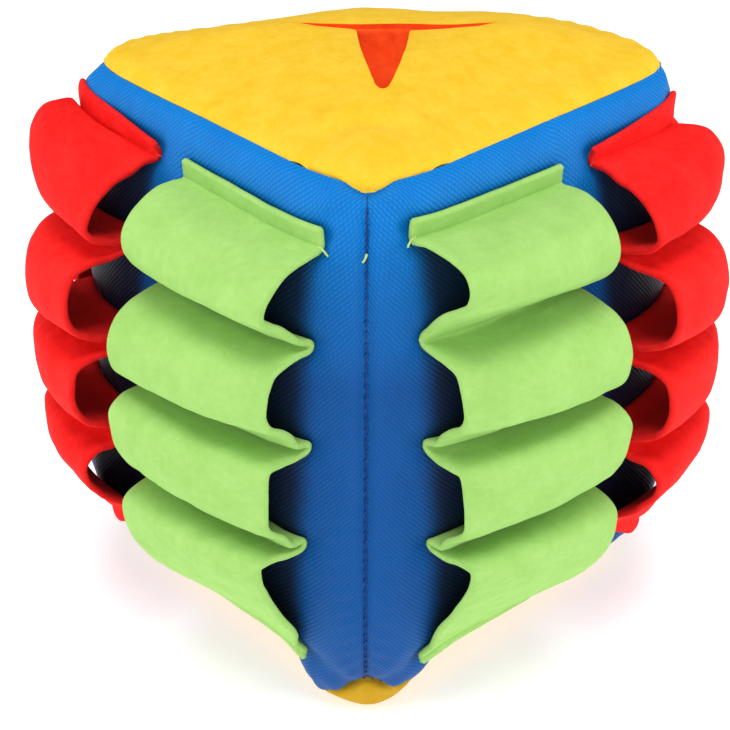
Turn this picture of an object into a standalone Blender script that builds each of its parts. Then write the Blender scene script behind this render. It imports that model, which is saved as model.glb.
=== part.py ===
"""Snuffle cube: a stuffed fabric cube for dogs.

Four blue woven side panels, a yellow fleece top with a three-armed cut that
opens into a small lined pocket, a yellow fleece bottom, and on each side a
green and a red fleece strip, each sewn down on five lines so that it stands
up in four loops.  All lengths below are in millimetres; the meshes are built
in metres, +Z up, with the origin at the middle of the resting face.
"""
import math

import bmesh
import bpy
import numpy as np
from mathutils import Vector

MM = 0.001

# ---- body -------------------------------------------------------------
SEAM_HALF = 65.0      # half of the seam square, face to face
SEAM_LOW = 13.0       # height of the bottom seam, middle of a side
SEAM_HIGH = 178.0     # height of the top seam, middle of a side
BULGE = 12.7          # how far a stuffed side stands out of the seam square
SAG = 8.6             # extra fullness low down, where the filling settles
CORNER_TOP = 8.0      # squareness of the plan outline at the top seam
CORNER_LOW = 14.0     # squareness at the bottom seam
CORNER_MID = 2.96     # squareness half way up
NEAR_DIP = 2.3        # the top seam falls gently towards the +X -Y corner
NEAR_TUCK = 2.0       # and is drawn down sharply right at it
FAR_TUCK = 3.0        # the same at the -X +Y corner
LOW_LOBE = 4.5        # fullness beside each bottom corner
LOW_NOTCH = 4.1       # each bottom corner is drawn up by its upright seam
FAR_SAG = 9.5         # the filling is slack under the -X +Y top corner
EAR = 1.8             # the two other top corners stand up a little
HUMP = 4.0            # a lump of filling under the back of the top
HUMP_AT = (18.6, 56.6)
DOME = 11.2           # crown of the top panel over its seam
CROWN = 2.4           # how flat the crown is in its middle

# ---- cloth ------------------------------------------------------------
OXFORD = 1.2          # side panels with their lining
FLEECE = 2.0          # top and bottom panels
FELT = 2.4            # strips, double fleece
THREAD = 0.9          # sewing thread, drawn as one cord
GAP = 0.3

# ---- strips -----------------------------------------------------------
# heights of the five sewn lines, at a strip's near and far edge
GREEN_ROWS = ((161.8, 134.0, 103.0, 71.0, 32.0), (162.3, 134.5, 104.5, 73.0, 30.0))
RED_ROWS = ((162.0, 140.5, 111.5, 82.0, 40.0), (168.0, 135.5, 108.0, 79.5, 29.0))
HEM = 4.4                                  # free hem beyond the end lines
RED_HEM = 7.0                              # the same at the far edge of a red strip
GREEN = (51.5, 34.0, 17.0, -0.65)          # lateral stations, near to far
RED = (-14.5, -29.0, -44.0, -58.5)
GREEN_RISE = (15.5, 21.0)                  # loop height at near and far end
RED_RISE = (19.0, 22.5)
LOOP = ((1.9, 0.55), (2.9, 0.86), (0.22, 1.0), (0.42, 0.97),
        (0.60, 0.74), (0.80, 0.33))        # loop outline: drop, rise
SEAT = FELT / 2 + GAP + 0.2                # middle of the felt where it is sewn

# ---- mouth of the pocket ----------------------------------------------
SLIT_A = (-21.8, -14.8)
SLIT_B = (21.7, 28.7)
ARM_END = (33.8, -30.1)
TONGUE_A = (-7.4, -1.4)                    # tip of the front tongue
TONGUE_B = (3.3, 9.3)                      # tip of the right tongue
POCKET_DEPTH = 27.0
LINING = 1.2

FACES = ("front", "right", "back", "left")
SIDE_SIGN = {"front": 1.0, "right": -1.0, "back": 1.0, "left": -1.0}
OUTWARD = {"front": Vector((0, -1, 0)), "right": Vector((1, 0, 0)),
           "back": Vector((0, 1, 0)), "left": Vector((-1, 0, 0))}


# ======================================================================
# shape of the stuffed body
# ======================================================================
def level(z):
    return min(max((z - SEAM_LOW) / (SEAM_HIGH - SEAM_LOW), 0.0), 1.0)


def half_width(t):
    q = min(max(4.0 * t * (1.0 - t), 0.0), 1.0)
    return (SEAM_HALF + BULGE * q ** (0.60 + 0.25 * t)
            + SAG * (1.0 - t) ** 2 * t * 4.0)


def squareness(t):
    q = math.sqrt(min(max(4.0 * t * (1.0 - t), 0.0), 1.0))
    return (CORNER_TOP * t + CORNER_LOW * (1.0 - t)) * (1.0 - q) + CORNER_MID * q


def corner_at(t, inset=0.0):
    return (half_width(t) - inset) * 2.0 ** (-1.0 / squareness(t))


def slack(x, y):
    """How far the top hangs below its even shape over a point of the plan."""
    s = min(max((y - x) / 120.0, 0.0), 1.0)
    drop = FAR_SAG * s ** 1.5
    for c in (-60.0, 60.0):
        drop -= EAR * math.exp(-((x - c) ** 2 + (y - c) ** 2) / 41.8 ** 2)
    far = (x - HUMP_AT[0]) ** 2 + (y - HUMP_AT[1]) ** 2
    return drop - HUMP * math.exp(-far / 29.8 ** 2)


def ramp(v):
    s = min(max((v + 8.0) / 16.0, 0.0), 1.0)
    return s * s * (3.0 - 2.0 * s)


def tuck(x, y, d):
    """How far the top seam is drawn down at a distance d from a top corner."""
    near, far = ramp(x) * ramp(-y), ramp(-x) * ramp(y)
    return (near * (NEAR_DIP * math.exp(-(d / 38.0) ** 2)
                    + NEAR_TUCK * math.exp(-(d / 5.0) ** 2))
            + far * FAR_TUCK * math.exp(-(d / 9.0) ** 2))


def on_side(face, q, t, out=0.0, inset=0.0):
    """Point on a side: q sideways (green end positive), t up, out along the normal."""
    n = squareness(t)
    r = half_width(t) - inset
    q = q * (r / (r + inset))
    x = SIDE_SIGN[face] * q
    y = max(r ** n - abs(x) ** n, 0.0) ** (1.0 / n)
    d = abs(abs(q) - corner_at(t, inset))
    z = SEAM_LOW + t * (SEAM_HIGH - SEAM_LOW)
    z += (1.0 - t) ** 3 * (LOW_NOTCH * math.exp(-(d / 6.0) ** 2)
                           - LOW_LOBE * math.exp(-((d - 14.0) / 10.0) ** 2))
    y += out
    if face == "front":
        p = (x, -y)
    elif face == "right":
        p = (y, x)
    elif face == "back":
        p = (-x, y)
    else:
        p = (-y, -x)
    return np.array([p[0], p[1], z - t ** 3 * (slack(*p) + tuck(*p, d))])


def crown(rho):
    return DOME * max(1.0 - rho ** CROWN, 0.0) ** 1.06


def on_top(edge, rho, drop=0.0):
    """Point of the top panel, rho of the way out to a point of its seam."""
    x, y = edge[0] * rho, edge[1] * rho
    lift = (edge[2] + slack(edge[0], edge[1]) - SEAM_HIGH) * rho ** 4
    return np.array([x, y, SEAM_HIGH + lift + crown(rho) - slack(x, y) - drop])


def top_height(x, y):
    """Height of the top panel over a point of the plan."""
    n = squareness(1.0)
    rho = max((abs(x) ** n + abs(y) ** n) ** (1.0 / n) / SEAM_HALF, 1e-6)
    d = abs(min(abs(x), abs(y)) / rho - corner_at(1.0))
    return SEAM_HIGH + crown(rho) - slack(x, y) - tuck(x / rho, y / rho, d) * rho ** 4


def stations(t, margin=0.65):
    """Lateral stations of a side, from the red corner to the green one."""
    c = corner_at(t) - margin
    return [-c] + sorted(RED + GREEN) + [c]


# ======================================================================
# small modelling helpers
# ======================================================================
def clear_scene():
    for obj in list(bpy.data.objects):
        bpy.data.objects.remove(obj, do_unlink=True)
    for block in (bpy.data.meshes, bpy.data.curves, bpy.data.materials):
        for item in list(block):
            block.remove(item)
    for coll in list(bpy.data.collections):
        bpy.data.collections.remove(coll)


def collection(name):
    coll = bpy.data.collections.new(name)
    bpy.context.scene.collection.children.link(coll)
    return coll


def material(name, rgb, roughness, metallic=0.0):
    mat = bpy.data.materials.new(name)
    mat.use_nodes = True
    node = mat.node_tree.nodes["Principled BSDF"]
    node.inputs["Base Color"].default_value = (*rgb, 1.0)
    node.inputs["Roughness"].default_value = roughness
    node.inputs["Metallic"].default_value = metallic
    mat.diffuse_color = (*rgb, 1.0)
    return mat


def add_object(name, data, mat, coll, origin=(0.0, 0.0, 0.0)):
    obj = bpy.data.objects.new(name, data)
    obj.location = [v * MM for v in origin]
    if mat is not None:
        data.materials.append(mat)
    coll.objects.link(obj)
    return obj


def bent_grid(columns, rows, place, closed=False, outward=None):
    """A grid primitive whose vertices are moved to place(column, row)."""
    bm = bmesh.new()
    bmesh.ops.create_grid(bm, x_segments=columns - 1, y_segments=rows - 1, size=1.0)
    for v in bm.verts:
        i = round((v.co.x + 1.0) / 2.0 * (columns - 1))
        j = round((v.co.y + 1.0) / 2.0 * (rows - 1))
        v.co = [c * MM for c in place(i, j)]
    if closed:
        bmesh.ops.remove_doubles(bm, verts=bm.verts, dist=1e-6)
        bmesh.ops.dissolve_degenerate(bm, edges=bm.edges, dist=1e-7)
    bm.normal_update()
    if outward is not None:
        score = sum(f.normal.dot(outward(f.calc_center_median())) * f.calc_area()
                    for f in bm.faces)
        if score < 0.0:
            bmesh.ops.reverse_faces(bm, faces=bm.faces)
    mesh = bpy.data.meshes.new("surface")
    bm.to_mesh(mesh)
    bm.free()
    mesh.shade_smooth()
    mesh.set_sharp_from_angle(angle=math.radians(40))
    return mesh


def thicken(obj, thickness, offset):
    mod = obj.modifiers.new("cloth thickness", "SOLIDIFY")
    mod.thickness = thickness * MM
    mod.offset = offset
    mod.use_even_offset = True
    mod.use_quality_normals = True
    return mod


def cut(obj, cutter, operation="DIFFERENCE"):
    mod = obj.modifiers.new("cut", "BOOLEAN")
    mod.operation = operation
    mod.solver = "EXACT"
    mod.object = cutter
    return mod


def prism(name, outline, low, high, coll):
    """Upright prism on a plan outline, used as a cutter."""
    curve = bpy.data.curves.new(name, "CURVE")
    curve.dimensions = "2D"
    curve.fill_mode = "BOTH"
    curve.extrude = (high - low) / 2.0 * MM
    spline = curve.splines.new("POLY")
    spline.points.add(len(outline) - 1)
    for point, (x, y) in zip(spline.points, outline):
        point.co = (x * MM, y * MM, 0.0, 1.0)
    spline.use_cyclic_u = True
    temp = bpy.data.objects.new(name + "_outline", curve)
    temp.location = (0.0, 0.0, (high + low) / 2.0 * MM)
    coll.objects.link(temp)
    bpy.context.view_layer.update()
    mesh = bpy.data.meshes.new_from_object(
        temp.evaluated_get(bpy.context.evaluated_depsgraph_get()))
    bm = bmesh.new()
    bm.from_mesh(mesh)
    bmesh.ops.remove_doubles(bm, verts=bm.verts, dist=1e-6)
    bmesh.ops.recalc_face_normals(bm, faces=bm.faces)
    bm.to_mesh(mesh)
    bm.free()
    obj = bpy.data.objects.new(name, mesh)
    obj.matrix_world = temp.matrix_world
    bpy.data.objects.remove(temp, do_unlink=True)
    obj.display_type = "WIRE"
    obj.hide_render = True
    coll.objects.link(obj)
    return obj


def cord(name, points, radius, mat, coll, closed=False):
    """Thread laid along points."""
    curve = bpy.data.curves.new(name, "CURVE")
    curve.dimensions = "3D"
    curve.bevel_depth = radius * MM
    curve.bevel_resolution = 1
    curve.use_fill_caps = not closed
    spline = curve.splines.new("POLY")
    spline.points.add(len(points) - 1)
    for point, co in zip(spline.points, points):
        point.co = (co[0] * MM, co[1] * MM, co[2] * MM, 1.0)
    spline.use_cyclic_u = closed
    spline.use_smooth = True
    return add_object(name, curve, mat, coll)


def offset_triangle(points, amounts):
    """Move each side of a plan triangle out by its amount (counter-clockwise)."""
    lines = []
    for k in range(3):
        a, b = np.array(points[k], float), np.array(points[(k + 1) % 3], float)
        d = (b - a) / np.linalg.norm(b - a)
        n = np.array([d[1], -d[0]])
        lines.append((a + n * amounts[k], d))
    out = []
    for k in range(3):
        (p, d), (q, e) = lines[k - 1], lines[k]
        s = np.linalg.solve(np.array([d, -e]).T, q - p)[0]
        out.append(tuple(p + d * s))
    return out


def rounded(points, radius, steps):
    """Round the corners of a plan outline."""
    out = []
    for k in range(len(points)):
        a, b, c = (np.array(points[(k + j) % len(points)], float) for j in (-1, 0, 1))
        u = (a - b) / np.linalg.norm(a - b)
        w = (c - b) / np.linalg.norm(c - b)
        half = math.acos(float(np.clip(u @ w, -1, 1))) / 2.0
        reach = radius / math.tan(half)
        mid = b + (u + w) / np.linalg.norm(u + w) * radius / math.sin(half)
        p0, p1 = b + u * reach - mid, b + w * reach - mid
        sweep = math.atan2(p0[0] * p1[1] - p0[1] * p1[0], float(p0 @ p1))
        for s in range(steps + 1):
            ang = sweep * s / steps
            out.append(tuple(mid + np.array([
                p0[0] * math.cos(ang) - p0[1] * math.sin(ang),
                p0[0] * math.sin(ang) + p0[1] * math.cos(ang)])))
    return out


# ======================================================================
# the pieces
# ======================================================================
SIDE_HEIGHTS = (SEAM_LOW + 0.9, 18.5, 25.0, 30.5, 36.0, 41.5, 51.0, 61.0, 71.5, 81.0,
                92.0, 103.0, 111.0, 122.0, 134.0, 141.0, 150.5, 158.0, 162.5, 167.5,
                172.5, SEAM_HIGH - 0.9)


def side_panel(face, mat, coll):
    levels = [level(z) for z in SIDE_HEIGHTS]

    def place(i, j):
        return on_side(face, stations(levels[j])[i], levels[j])

    mesh = bent_grid(10, len(levels), place, outward=lambda c: OUTWARD[face])
    obj = add_object(face + "_panel", mesh, mat, coll)
    thicken(obj, OXFORD, -1.0)
    return obj


def strip_profile(rows, rise, hem, flare):
    """Felt middle line: (height, distance out of the side)."""
    prof = [(rows[0] + hem, SEAT + flare), (rows[0] + 1.5, SEAT)]
    for a, b in zip(rows[:-1], rows[1:]):
        h = a - b
        prof.append((a - 1.5, SEAT))
        for drop, part in LOOP:
            prof.append((a - (drop if drop > 1.0 else drop * h), SEAT + part * rise))
        prof.append((b + 1.5, SEAT))
    prof += [(rows[-1] - 1.5, SEAT), (rows[-1] - HEM, SEAT + 1.5)]
    return prof


def between(pair, w):
    return pair[0] * (1.0 - w) + pair[1] * w


def row_heights(colour, w):
    """Heights of the sewn lines w of the way from the near edge to the far one."""
    near, far = GREEN_ROWS if colour == "green" else RED_ROWS
    return [between(pair, w) for pair in zip(near, far)]


def strip(face, colour, mat, coll):
    cols, rises = ((GREEN, GREEN_RISE) if colour == "green" else (RED, RED_RISE))
    far_hem, far_flare = (HEM, 0.9) if colour == "green" else (RED_HEM, 3.0)
    profiles = []
    for k in range(len(cols)):
        w = k / (len(cols) - 1)
        profiles.append(strip_profile(row_heights(colour, w), between(rises, w),
                                      between((HEM, far_hem), w),
                                      between((0.9, far_flare), w)))

    def place(i, j):
        z, out = profiles[i][j]
        return on_side(face, cols[i], level(z), out)

    mesh = bent_grid(len(cols), len(profiles[0]), place,
                     outward=lambda c: OUTWARD[face])
    obj = add_object("%s_%s_strip" % (face, colour), mesh, mat, coll)
    thicken(obj, FELT, 0.0)
    return obj


def hem_thread(face, colour, mat, coll):
    cols = GREEN if colour == "green" else RED
    run = [cols[0] - 0.8] + list(cols[1:-1]) + [cols[-1] + 0.8]
    out = SEAT + FELT / 2 + GAP + THREAD / 2 + 0.15
    pts = []
    for k, q in enumerate(run):
        z = row_heights(colour, k / (len(run) - 1))[0] + 0.5
        pts.append(on_side(face, q, level(z), out))
    return cord("%s_%s_hem_thread" % (face, colour), pts, THREAD / 2, mat, coll)


def seam_square(t, z_shift=0.0, out=0.0):
    pts = []
    for face in FACES:
        run = []
        for q in stations(t, 0.0):
            p = on_side(face, q, t)
            d = np.array([p[0], p[1], 0.0])
            d /= np.linalg.norm(d)
            run.append(p + d * out + np.array([0, 0, z_shift]))
        if SIDE_SIGN[face] < 0:
            run.reverse()
        pts += run[:-1]
    return pts


def top_surface(mat, name, coll):
    edge = seam_square(1.0)
    edge = edge + [edge[0]]
    rings = [0.0, 0.22, 0.42, 0.6, 0.75, 0.87, 0.95, 0.986]

    def place(i, j):
        return on_top(edge[i], rings[j])

    mesh = bent_grid(len(edge), len(rings), place, closed=True,
                     outward=lambda c: Vector((0, 0, 1)))
    obj = add_object(name, mesh, mat, coll)
    thicken(obj, FLEECE, -1.0)
    return obj


# the bottom panel from its seam inwards: share of the seam's reach, share of
# its height, and how much further it stands out at the +X -Y corner
BASE_RINGS = ((0.986, 0.90, 0.012), (0.965, 0.74, 0.025), (0.94, 0.56, 0.04),
              (0.915, 0.38, 0.05), (0.885, 0.20, 0.055), (0.85, 0.06, 0.05),
              (0.81, 0.0, 0.03), (0.4, 0.0, 0.0), (0.0, 0.0, 0.0))


def bottom_surface(mat, coll):
    edge = seam_square(0.0)
    edge = edge + [edge[0]]
    c = corner_at(0.0)

    def place(i, j):
        rho, k, more = BASE_RINGS[j]
        x, y, z = edge[i]
        rho += more * math.exp(-((x - c) ** 2 + (y + c) ** 2) / 12.0 ** 2)
        return np.array([x * rho, y * rho, z * k])

    mesh = bent_grid(len(edge), len(BASE_RINGS), place, closed=True,
                     outward=lambda c: Vector((0, 0, -1)))
    obj = add_object("bottom_panel", mesh, mat, coll)
    thicken(obj, FLEECE, -1.0)
    return obj


def stuffing(mat, coll):
    inset = OXFORD + 1.1
    rows = []
    low = seam_square(0.0)
    high = seam_square(1.0)
    for rho, k, _ in reversed(BASE_RINGS):
        rho = max(rho - 0.038, 0.0)
        rows.append([np.array([p[0] * rho, p[1] * rho, p[2] * k + FLEECE + 1.0])
                     for p in low])
    for z in (24.0, 34.0, 52.0, 71.0, 87.0, 103.0, 119.0, 134.0, 148.0, 162.0, 172.0):
        t = level(z)
        row = []
        for face in FACES:
            run = [on_side(face, q, t, inset=inset) for q in stations(t, 0.0)]
            if SIDE_SIGN[face] < 0:
                run.reverse()
            row += run[:-1]
        rows.append(row)
    for rho in (0.94, 0.87, 0.75, 0.6, 0.42, 0.22, 0.0):
        rows.append([on_top(p, rho, FLEECE + 0.8) for p in high])
    for row in rows:
        row.append(row[0])

    def place(i, j):
        return rows[j][i]

    mesh = bent_grid(len(rows[0]), len(rows), place, closed=True)
    bm = bmesh.new()
    bm.from_mesh(mesh)
    bmesh.ops.recalc_face_normals(bm, faces=bm.faces)
    bm.to_mesh(mesh)
    bm.free()
    return add_object("stuffing_core", mesh, mat, coll)


MOUTH = (SLIT_A, ARM_END, SLIT_B)        # counter-clockwise in plan


def pocket_rings():
    """Outlines of the pocket from its rim to its floor."""
    rings = []
    for depth, spread in ((0.0, 2.6), (0.45, 2.2), (0.8, 0.6), (1.0, -4.0)):
        tri = offset_triangle(MOUTH, (spread, spread, min(spread, 1.2)))
        run = []
        for x, y in rounded(tri, 3.2, 3):
            rim = top_height(x, y) - FLEECE - 0.7
            bed = SEAM_HIGH + DOME - POCKET_DEPTH
            run.append(np.array([x, y, rim * (1 - depth) + bed * depth]))
        rings.append(run)
    return rings


def pocket_lining(mat, coll):
    rings = pocket_rings()
    mid = np.mean(rings[-1], axis=0)
    rings.append([mid] * len(rings[0]))
    for run in rings:
        run.append(run[0])

    def place(i, j):
        return rings[j][i]

    mesh = bent_grid(len(rings[0]), len(rings), place, closed=True,
                     outward=lambda c: Vector(
                         (c.x - mid[0] * MM, c.y - mid[1] * MM, c.z - 0.185)))
    obj = add_object("pouch_lining", mesh, mat, coll)
    thicken(obj, LINING, -1.0)
    return obj


def pocket_cutter(coll):
    """Straight-walled recess in the filling, just clear of the lining."""
    outline = rounded(offset_triangle(MOUTH, (3.3, 3.3, 1.9)), 3.9, 3)
    floor = SEAM_HIGH + DOME - POCKET_DEPTH - LINING / 2 - 0.8
    return prism("pocket_cutter", outline, floor, 215.0, coll)


def tongue_outline(tip, hinge_from, hinge_to):
    """Plan triangle of a tongue, held clear of its hinge line."""
    a, b = np.array(hinge_from, float), np.array(hinge_to, float)
    d = (b - a) / np.linalg.norm(b - a)
    n = np.array([-d[1], d[0]])
    if (np.array(tip) - a) @ n < 0:
        n = -n
    base_gap = 2.2
    tip = np.array(tip, float)

    def on_line(end):
        u = (tip - end) / np.linalg.norm(tip - end)
        return end + u * (base_gap / abs(u @ n))

    return [tuple(on_line(a)), tuple(on_line(b)), tuple(tip)]


def hinge_line(a, b):
    pa = np.array([a[0], a[1], top_height(*a) - FLEECE / 2])
    pb = np.array([b[0], b[1], top_height(*b) - FLEECE / 2])
    return pa, pb


def set_origin(obj, point):
    """Move the object's origin onto its hinge, leaving its mesh in place."""
    for v in obj.data.vertices:
        v.co = [v.co[k] - point[k] * MM for k in range(3)]
    obj.location = [c * MM for c in point]


def build():
    clear_scene()
    toy = collection("snuffle_cube")
    tools = collection("cutters")

    blue = material("blue_oxford", (0.0, 0.16, 0.52), 0.72)
    yellow = material("yellow_fleece", (0.95, 0.66, 0.06), 0.95)
    green = material("green_fleece", (0.36, 0.66, 0.17), 0.95)
    red = material("red_fleece", (0.90, 0.02, 0.02), 0.95)
    orange = material("orange_lining", (0.95, 0.12, 0.02), 0.9)
    fill = material("fibre_filling", (0.9, 0.9, 0.88), 1.0)
    dark = material("blue_thread", (0.01, 0.07, 0.28), 0.6)
    pale = material("pale_thread", (0.55, 0.66, 0.30), 0.6)
    warm = material("yellow_thread", (0.85, 0.55, 0.05), 0.6)

    core = stuffing(fill, toy)
    cut(core, pocket_cutter(tools))

    for face in FACES:
        side_panel(face, blue, toy)
        strip(face, "green", green, toy)
        strip(face, "red", red, toy)
        hem_thread(face, "green", pale, toy)
        hem_thread(face, "red", pale, toy)

    bottom_surface(yellow, toy)
    pocket_lining(orange, toy)

    # the top, with its mouth cut out
    top = top_surface(yellow, "top_panel", toy)
    hole = offset_triangle(MOUTH, (0.5, 0.5, 0.35))
    cut(top, prism("mouth_cutter", hole, 150.0, 210.0, tools))

    # the two tongues that the cut leaves free
    for name, tip, a, b in (("flap_front", TONGUE_A, SLIT_A, ARM_END),
                            ("flap_right", TONGUE_B, ARM_END, SLIT_B)):
        tongue = top_surface(yellow, name, toy)
        outline = tongue_outline(tip, a, b)
        cut(tongue, prism(name + "_cutter", outline, 150.0, 210.0, tools), "INTERSECT")
        pa, pb = hinge_line(a, b)
        set_origin(tongue, (pa + pb) / 2.0)

    # seams
    cord("top_seam_thread", seam_square(1.0, 0.1, 0.35), THREAD / 2, dark, toy, True)
    round_low = seam_square(0.0, -0.1, 0.35)
    # the back's middle stretch of the bottom seam is closed by hand
    back = [k for k, p in enumerate(round_low)
            if p[1] > 60.0 and abs(p[0]) < 40.0]
    first, last = min(back), max(back)
    closing = [round_low[k] for k in back]
    trimmed = [closing[0] + (closing[1] - closing[0]) * 0.12] + closing[1:-1]
    trimmed += [closing[-1] + (closing[-2] - closing[-1]) * 0.12]
    cord("bottom_closing_stitch", trimmed, THREAD / 2, warm, toy)
    rest = round_low[last:] + round_low[:first + 1]
    cord("bottom_seam_thread", rest, THREAD / 2, dark, toy)
    for face, name in zip(FACES, ("near", "right", "far", "left")):
        sign = 1.0 if SIDE_SIGN[face] > 0 else -1.0
        pts = []
        for z in [SEAM_LOW + 2.6] + list(SIDE_HEIGHTS[2:-1]) + [SEAM_HIGH - 2.4]:
            t = level(z)
            p = on_side(face, sign * corner_at(t), t)
            d = np.array([p[0], p[1], 0.0]) / np.linalg.norm(p[:2])
            pts.append(p + d * 0.25)
        cord("corner_seam_" + name, pts, THREAD / 2, dark, toy)


build()
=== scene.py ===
import math

import bpy
import numpy as np
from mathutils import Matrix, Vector


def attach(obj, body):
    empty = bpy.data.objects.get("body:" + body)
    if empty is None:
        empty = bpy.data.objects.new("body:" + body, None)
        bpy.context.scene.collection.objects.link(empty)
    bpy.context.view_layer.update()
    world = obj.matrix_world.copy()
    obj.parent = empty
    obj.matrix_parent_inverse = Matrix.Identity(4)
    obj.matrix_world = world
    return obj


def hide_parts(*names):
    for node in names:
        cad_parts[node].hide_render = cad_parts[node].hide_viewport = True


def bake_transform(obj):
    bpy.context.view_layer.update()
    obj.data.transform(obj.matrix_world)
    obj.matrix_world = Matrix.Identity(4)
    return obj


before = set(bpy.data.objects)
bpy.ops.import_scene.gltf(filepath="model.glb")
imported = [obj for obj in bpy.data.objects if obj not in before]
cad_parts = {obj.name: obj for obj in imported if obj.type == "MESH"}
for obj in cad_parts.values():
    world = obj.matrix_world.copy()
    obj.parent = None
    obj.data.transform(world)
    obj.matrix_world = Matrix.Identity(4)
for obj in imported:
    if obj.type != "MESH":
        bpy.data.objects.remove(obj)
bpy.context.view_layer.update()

MM = 0.001

# ======================================================================
# the toy's shape, in millimetres, as the construction model has it
# ======================================================================
SEAM_HALF, SEAM_LOW, SEAM_HIGH = 65.0, 13.0, 178.0
BULGE, SAG = 12.7, 8.6
CORNER_TOP, CORNER_LOW, CORNER_MID = 8.0, 14.0, 2.96
LOW_LOBE, LOW_NOTCH = 4.5, 4.1
FAR_SAG, DOME, CROWN = 9.5, 11.2, 2.4
EAR, HUMP, HUMP_AT = 1.8, 4.0, (18.6, 56.6)
FELT = 1.9                 # thinner than in the CAD, as its cut edges look in the photo
HEM = 4.4
GREEN = (51.5, -0.65)
RED = (-14.5, -58.5)
SLIT_A, SLIT_B, ARM_END = (-21.8, -14.8), (21.7, 28.7), (33.8, -30.1)
SLIT_MID, SLIT_HALF = 4.85, 30.75          # along the slit, from the diagonal plane
POCKET_DEPTH = 27.0

FACES = ("front", "right", "back", "left")
SIDE_SIGN = {"front": 1.0, "right": -1.0, "back": 1.0, "left": -1.0}
# which of the shapes below a face has; the red strips hang lower on the last two
LOOK = {"front": 0, "right": 1, "back": 2, "left": 3}
# heights of the five sewn lines, at a strip's near and far edge
GREEN_ROWS = (((161.0, 133.2, 102.6, 71.8, 31.0), (162.3, 134.5, 104.5, 73.0, 23.0)),
              ((163.6, 135.5, 103.5, 72.0, 30.5), (162.3, 134.5, 104.5, 73.0, 23.0)))
RED_ROWS = (((164.2, 141.0, 112.5, 82.0, 40.0), (164.2, 135.8, 108.0, 79.5, 24.0)),
            ((164.2, 141.0, 112.5, 82.0, 40.0), (162.6, 135.0, 108.0, 79.5, 24.0)),
            ((160.0, 140.0, 112.0, 82.0, 40.0), (154.5, 130.5, 105.5, 78.5, 24.0)))
ROWS = {"green": GREEN_ROWS * 2, "red": (RED_ROWS[0], RED_ROWS[1], RED_ROWS[2], RED_ROWS[2])}
# the four upright seams, by the two faces that meet there at their q ends
SEAMS = {"near": ("front", "right"), "far": ("back", "left"),
         "right": ("right", "back"), "left": ("left", "front")}


# ---- noise ------------------------------------------------------------
def lattice(ix, iy, seed):
    n = (ix.astype(np.int64) * 374761393 + iy.astype(np.int64) * 668265263
         + int(seed) * 1442695040888963407 % (1 << 31)) & 0xFFFFFFFF
    n = ((n ^ (n >> 13)) * 1274126177) & 0xFFFFFFFF
    n = (n ^ (n >> 16)) & 0xFFFF
    return n / 65535.0


def noise(x, y, seed=0):
    """Smooth value noise from -1 to 1."""
    x, y = np.asarray(x, float), np.asarray(y, float)
    ix, iy = np.floor(x), np.floor(y)
    fx, fy = x - ix, y - iy
    ux, uy = fx ** 3 * (fx * (fx * 6 - 15) + 10), fy ** 3 * (fy * (fy * 6 - 15) + 10)
    a, b = lattice(ix, iy, seed), lattice(ix + 1, iy, seed)
    c, d = lattice(ix, iy + 1, seed), lattice(ix + 1, iy + 1, seed)
    return 2.0 * ((a * (1 - ux) + b * ux) * (1 - uy) + (c * (1 - ux) + d * ux) * uy) - 1.0


def fbm(x, y, seed=0, octaves=3):
    out, amp, total = 0.0, 1.0, 0.0
    for k in range(octaves):
        out = out + amp * noise(x * 2 ** k + 11.3 * k, y * 2 ** k - 7.7 * k, seed + 17 * k)
        total += amp
        amp *= 0.5
    return out / total


def bell(x, width):
    return np.exp(-(np.asarray(x, float) / width) ** 2)


def smooth(x, lo, hi):
    t = np.clip((np.asarray(x, float) - lo) / (hi - lo), 0.0, 1.0)
    return t * t * (3 - 2 * t)


# ---- body -------------------------------------------------------------
def half_width(t):
    q = np.clip(4.0 * t * (1.0 - t), 0.0, 1.0)
    return (SEAM_HALF + BULGE * q ** (0.60 + 0.25 * t)
            + SAG * (1.0 - t) ** 2 * t * 4.0)


def squareness(t):
    q = np.sqrt(np.clip(4.0 * t * (1.0 - t), 0.0, 1.0))
    return (CORNER_TOP * t + CORNER_LOW * (1.0 - t)) * (1.0 - q) + CORNER_MID * q


def corner_at(t, inset=0.0):
    return (half_width(t) - inset) * 2.0 ** (-1.0 / squareness(t))


def slack(x, y):
    """How far the top hangs below its even shape."""
    s = np.clip((y - x) / 120.0, 0.0, 1.0)
    ears = sum(EAR * bell(np.hypot(x - c, y - c), 41.8) for c in (-60.0, 60.0))
    hump = HUMP * bell(np.hypot(x - HUMP_AT[0], y - HUMP_AT[1]), 29.8)
    return FAR_SAG * s ** 1.5 - ears - hump


def tuck(x, y, d):
    """How far the top seam is drawn down at a distance d from a top corner."""
    near = smooth(x, -8, 8) * smooth(-y, -8, 8)
    far = smooth(-x, -8, 8) * smooth(y, -8, 8)
    # behind the two side corners the seam drops a little more
    lean = np.abs(x) - np.abs(y)
    back = smooth(lean, 0, 3) * np.where((x < 0) & (y < 0), 1.0, 0.0)
    back = back + smooth(-lean, 0, 3) * np.where((x > 0) & (y > 0), 1.0, 0.0)
    return (near * (2.3 * bell(d, 38.0) + 2.0 * bell(d, 5.0)) + far * 3.0 * bell(d, 9.0)
            + back * 1.8 * bell(d - 5.0, 6.0))


def corner_push(x, y, t):
    """The side corners are pulled in at the top seam and full just below it."""
    push = 0.0
    for sgn, puff, pull, foot in ((1.0, 0.8, 0.2, 4.6), (-1.0, 2.8, 2.6, 8.4)):
        near = bell(np.hypot(x - 60.0 * sgn, y - 60.0 * sgn), 16.0)
        z = SEAM_LOW + t * (SEAM_HIGH - SEAM_LOW)
        push = push + sgn * 0.7071 * near * (puff * bell(z - 169.0, 9.0)
                                             + foot * bell(z - 50.0, 20.0)
                                             - pull * smooth(t, 0.95, 1.0))
    return push


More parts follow.
